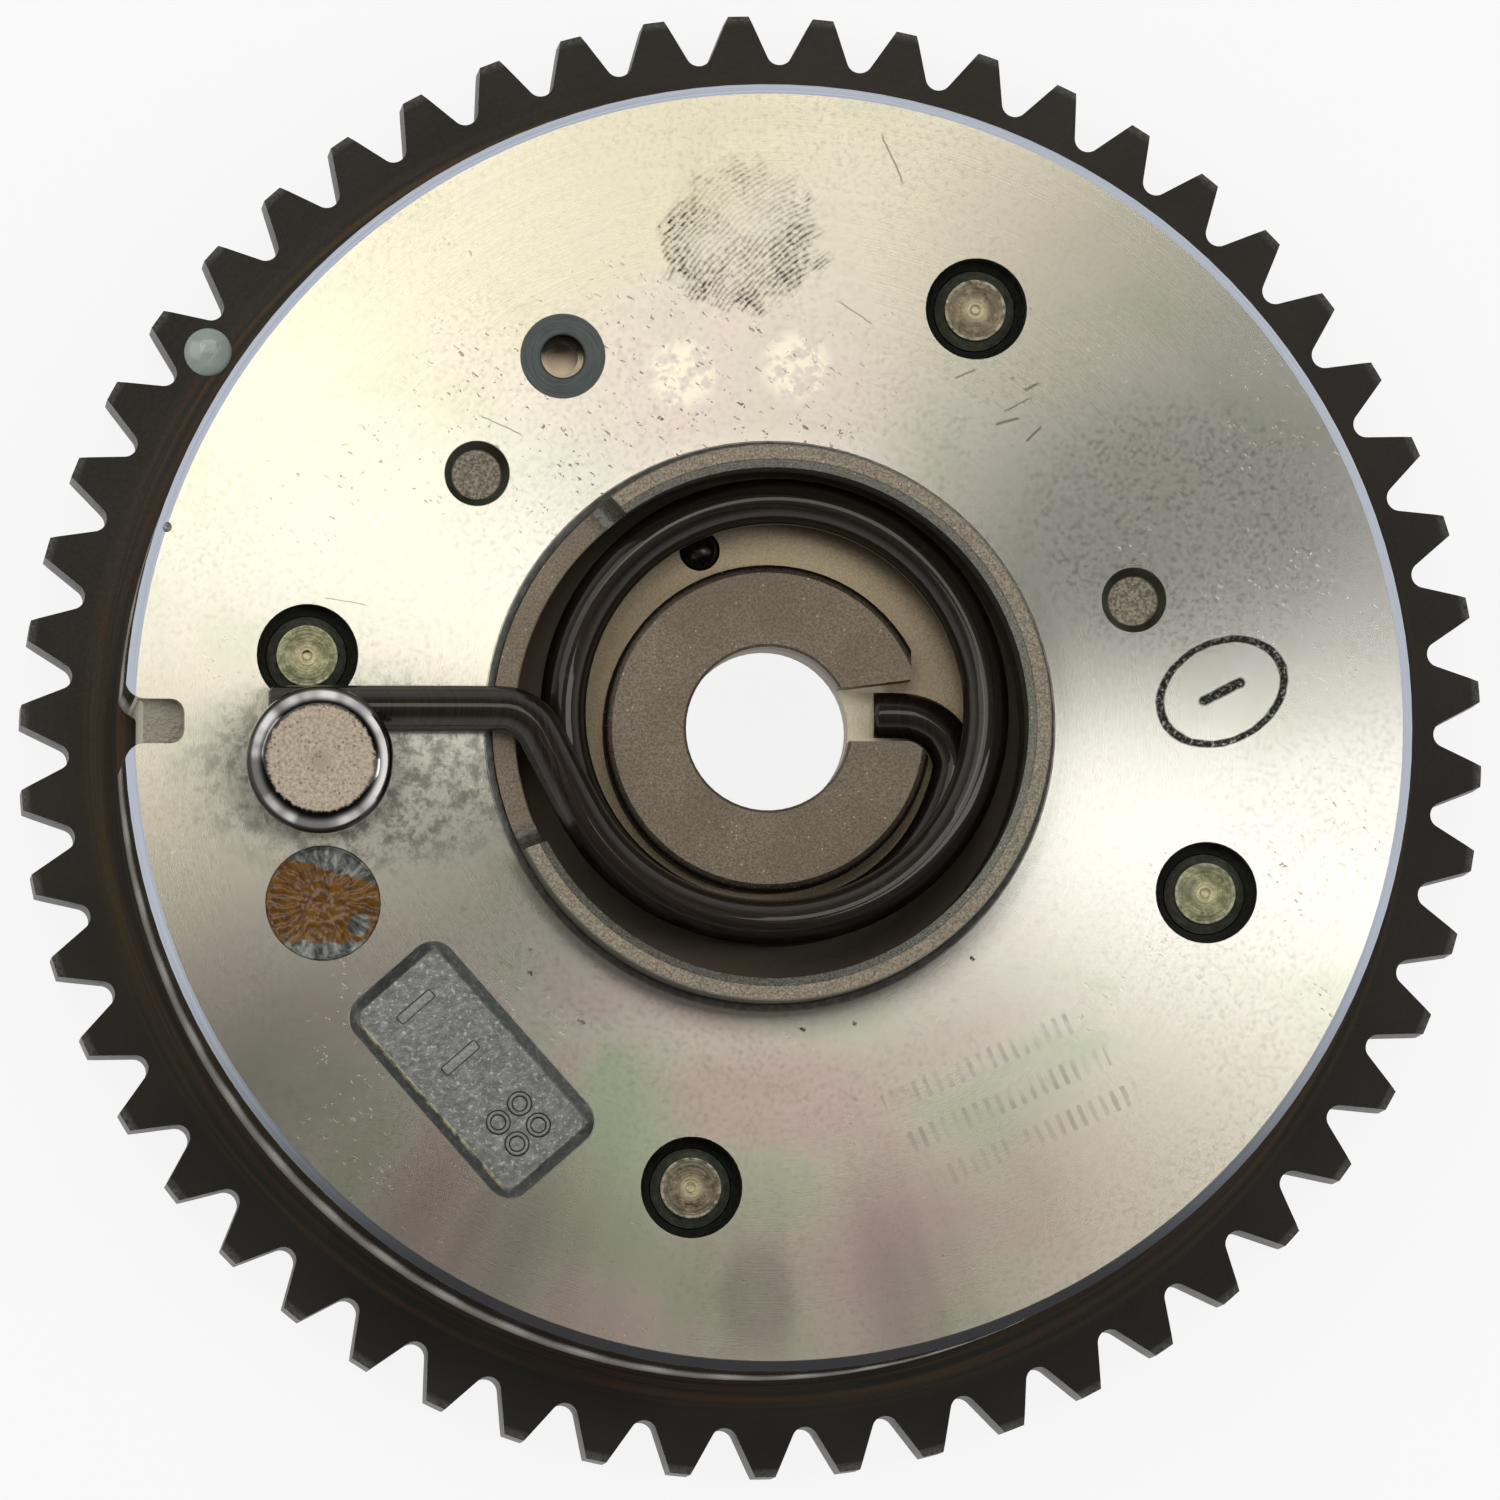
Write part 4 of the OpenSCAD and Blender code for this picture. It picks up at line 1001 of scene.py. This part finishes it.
class PHASER_OT_inside(bpy.types.Operator):
    """Finish the pieces inside, and model the lock pin spring as a copy that rides on the rotor"""

    bl_idname = "phaser.inside"
    bl_label = "Finish Inner Pieces"

    def execute(self, context):
        f = Finish("heat-tinted pin steel", metallic=1.0)
        x, y, z = f.place(BUSH)
        rings = f.noise(f.vector(f.length(x, y) * 2.0, z * 4.0), 1.0, 3)
        colour = f.mix(rings.rise(0.3, 0.7), (0.56, 0.45, 0.33), (0.68, 0.56, 0.42))
        dress("lock_pin", f.set(
            base_color=colour, roughness=0.25 + rings * 0.2, normal=f.bump(rings, 0.02, 0.5)))

        f = Finish("bright strip steel", metallic=1.0)
        x, y, z = f.place()
        drawn = f.noise(f.vector(x * 3.0, y * 3.0, z * 0.4), 1.0, 3)
        colour = f.mix(drawn.rise(0.3, 0.7), (0.50, 0.50, 0.49), (0.66, 0.66, 0.65))
        bright = f.set(
            base_color=colour, roughness=0.22 + drawn * 0.2, normal=f.bump(drawn, 0.02, 0.5))

        f = Finish("filled seal polymer")
        x, y, z = f.place()
        grain = f.noise(f.vector(x, y, z), 3.0, 4)
        colour = f.mix(grain.rise(0.3, 0.7), (0.045, 0.040, 0.036), (0.080, 0.072, 0.062))
        polymer = f.set(
            base_color=colour, roughness=0.45 + grain * 0.2, normal=f.bump(grain, 0.03, 0.5))

        f = Finish("black plug steel", metallic=0.8)
        x, y, z = f.place(centre_of("gallery_ball"))
        grain = f.noise(f.vector(x, y, z), 2.2, 3)
        colour = f.mix(grain.rise(0.3, 0.7), (0.030, 0.028, 0.026), (0.070, 0.064, 0.058))
        dress("gallery_ball", f.set(
            base_color=colour, roughness=0.18 + grain * 0.15, normal=f.bump(grain, 0.02, 0.4)))

        dress("lock_pin_seat", bright)
        bm = bmesh.new()
        bm.from_mesh(NODES["lock_pin_spring"].data)
        mesh = bmesh_to_mesh(bm, "lock_pin_spring_wire")
        coil = add_piece("lock_pin_spring_wire", mesh, "rotor", bright)
        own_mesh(coil)
        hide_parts("lock_pin_spring")
        for number in range(1, len(BOLTS) + 1):
            for place in ("vane", "shoe"):
                dress(f"{place}_seal_{number}", polymer)
                dress(f"{place}_leaf_{number}", bright)
        return {"FINISHED"}


def soft_box(name, place, target, width, height, radiance, tint=(1, 1, 1)):
    """An area lamp of this radiance, in metres, that faces a target."""
    data = bpy.data.lights.new(name, "AREA")
    data.shape = "RECTANGLE"
    data.size = width
    data.size_y = height
    data.energy = radiance * math.pi * width * height
    data.color = tint
    lamp = bpy.data.objects.new(name, data)
    lamp.location = place
    lamp.rotation_euler = (Vector(target) - Vector(place)).to_track_quat("-Z", "Y").to_euler()
    bpy.context.scene.collection.objects.link(lamp)


class PHASER_OT_stage(bpy.types.Operator):
    """Set the floor, the studio and the camera"""

    bl_idname = "phaser.stage"
    bl_label = "Set Stage"

    def execute(self, context):
        scene = context.scene
        settings = scene.phaser_stage
        scene.view_settings.view_transform = "Standard"

        bm = bmesh.new()
        bmesh.ops.create_grid(bm, x_segments=1, y_segments=1, size=FLOOR_HALF)
        mesh = bpy.data.meshes.new("floor")
        bm.to_mesh(mesh)
        bm.free()
        floor = bpy.data.objects.new("floor", mesh)
        floor.location.z = -FLOOR_GAP * MM
        scene.collection.objects.link(floor)
        f = Finish("white floor", roughness=0.9, base_color=(0.86, 0.86, 0.86))
        path = f.node("LightPath", {})
        seen = reduce(Field.bound, [
            Field(f, path.outputs[f"Is {kind} Ray"]) for kind in ("Camera", "Transmission", "Glossy")])
        glow = f.node("Emission", {"Color": (1, 1, 1), "Strength": 1.0})
        both = f.node("MixShader", {0: seen * 0.88, 1: f.shader.outputs[0], 2: glow.outputs[0]})
        output = next(n for n in f.tree.nodes if n.type == "OUTPUT_MATERIAL")
        f.tree.links.new(both.outputs[0], output.inputs["Surface"])
        mesh.materials.append(f.material)

        world = bpy.data.worlds.new("studio")
        scene.world = world
        world.use_nodes = True
        tree = world.node_tree
        tree.nodes.clear()
        coords = tree.nodes.new("ShaderNodeTexCoord")
        split = tree.nodes.new("ShaderNodeSeparateXYZ")
        walls = tree.nodes.new("ShaderNodeMapRange")
        walls.inputs["From Min"].default_value = 0.45
        walls.inputs["From Max"].default_value = 0.80
        walls.inputs["To Min"].default_value = 1.0
        walls.inputs["To Max"].default_value = settings.ceiling
        background = tree.nodes.new("ShaderNodeBackground")
        output = tree.nodes.new("ShaderNodeOutputWorld")
        tree.links.new(coords.outputs["Generated"], split.inputs[0])
        tree.links.new(split.outputs["Z"], walls.inputs["Value"])
        tree.links.new(walls.outputs["Result"], background.inputs["Color"])
        tree.links.new(background.outputs[0], output.inputs["Surface"])

        face = (0, 0, FACE_Z * MM)
        soft_box(
            "key", place=(-0.228, 0.109, 0.60), target=face, width=0.25, height=0.30,
            radiance=settings.key_power, tint=(1.0, 0.985, 0.94))
        soft_box(
            "right", place=(0.249, -0.018, 0.60), target=face, width=0.11, height=0.30, radiance=3.4)
        soft_box(
            "top", place=(-0.02, 0.15, 0.60), target=(-0.02, 0.15, 0), width=0.22, height=0.18,
            radiance=2.7, tint=(1.0, 0.97, 0.90))

        lean = Vector((math.sin(settings.lean_x), math.sin(settings.lean_y), 0))
        toward = Vector((lean.x, lean.y, math.sqrt(1 - lean.length_squared)))
        level = Vector((math.sin(settings.roll), math.cos(settings.roll), 0))
        right = level.cross(toward).normalized()
        up = toward.cross(right)
        across, above = PICTURE_SHIFT
        middle = Vector((0, 0, AIM_Z * MM)) - right * across * MM - up * above * MM
        data = bpy.data.cameras.new("photo camera")
        data.sensor_width = 36
        data.lens = settings.focal_length
        data.clip_end = 50
        camera = bpy.data.objects.new("photo camera", data)
        turn = Matrix((right, up, toward)).transposed().to_4x4()
        camera.matrix_world = Matrix.Translation(middle + toward * settings.distance) @ turn
        scene.collection.objects.link(camera)
        scene.camera = camera
        return {"FINISHED"}


class PHASER_PT_looks(bpy.types.Panel):
    """Lists the steps that dress the phaser"""

    bl_idname = "PHASER_PT_looks"
    bl_label = "Cam Phaser"
    bl_space_type = "VIEW_3D"
    bl_region_type = "UI"
    bl_category = "Phaser"

    def draw(self, context):
        for step in STEPS:
            self.layout.operator(step.bl_idname)


STEPS = (
    PHASER_OT_sprocket, PHASER_OT_housing, PHASER_OT_rotor, PHASER_OT_spring,
    PHASER_OT_anchor, PHASER_OT_bush, PHASER_OT_bolts, PHASER_OT_sealant,
    PHASER_OT_paint, PHASER_OT_cast_marks, PHASER_OT_inside, PHASER_OT_stage,
)
SETTINGS = {"phaser_sizes": PhaserSizes, "phaser_colours": PhaserColours, "phaser_stage": PhaserStage}
CLASSES = (*SETTINGS.values(), *STEPS, PHASER_PT_looks)


def register():
    """Add the classes and their settings."""
    for cls in CLASSES:
        bpy.utils.register_class(cls)
    for name, group in SETTINGS.items():
        setattr(bpy.types.Scene, name, PointerProperty(type=group))


def unregister():
    """Take the classes and their settings away."""
    for name in SETTINGS:
        delattr(bpy.types.Scene, name)
    for cls in reversed(CLASSES):
        bpy.utils.unregister_class(cls)


def main():
    """Dress the phaser and set the stage."""
    register()
    bpy.ops.phaser.sprocket()
    bpy.ops.phaser.housing()
    bpy.ops.phaser.rotor()
    bpy.ops.phaser.spring()
    bpy.ops.phaser.anchor()
    bpy.ops.phaser.bush()
    bpy.ops.phaser.bolts()
    bpy.ops.phaser.sealant()
    bpy.ops.phaser.paint()
    bpy.ops.phaser.cast_marks()
    bpy.ops.phaser.inside()
    bpy.ops.phaser.stage()
    bpy.context.view_layer.update()


if __name__ == "__main__":
    main()
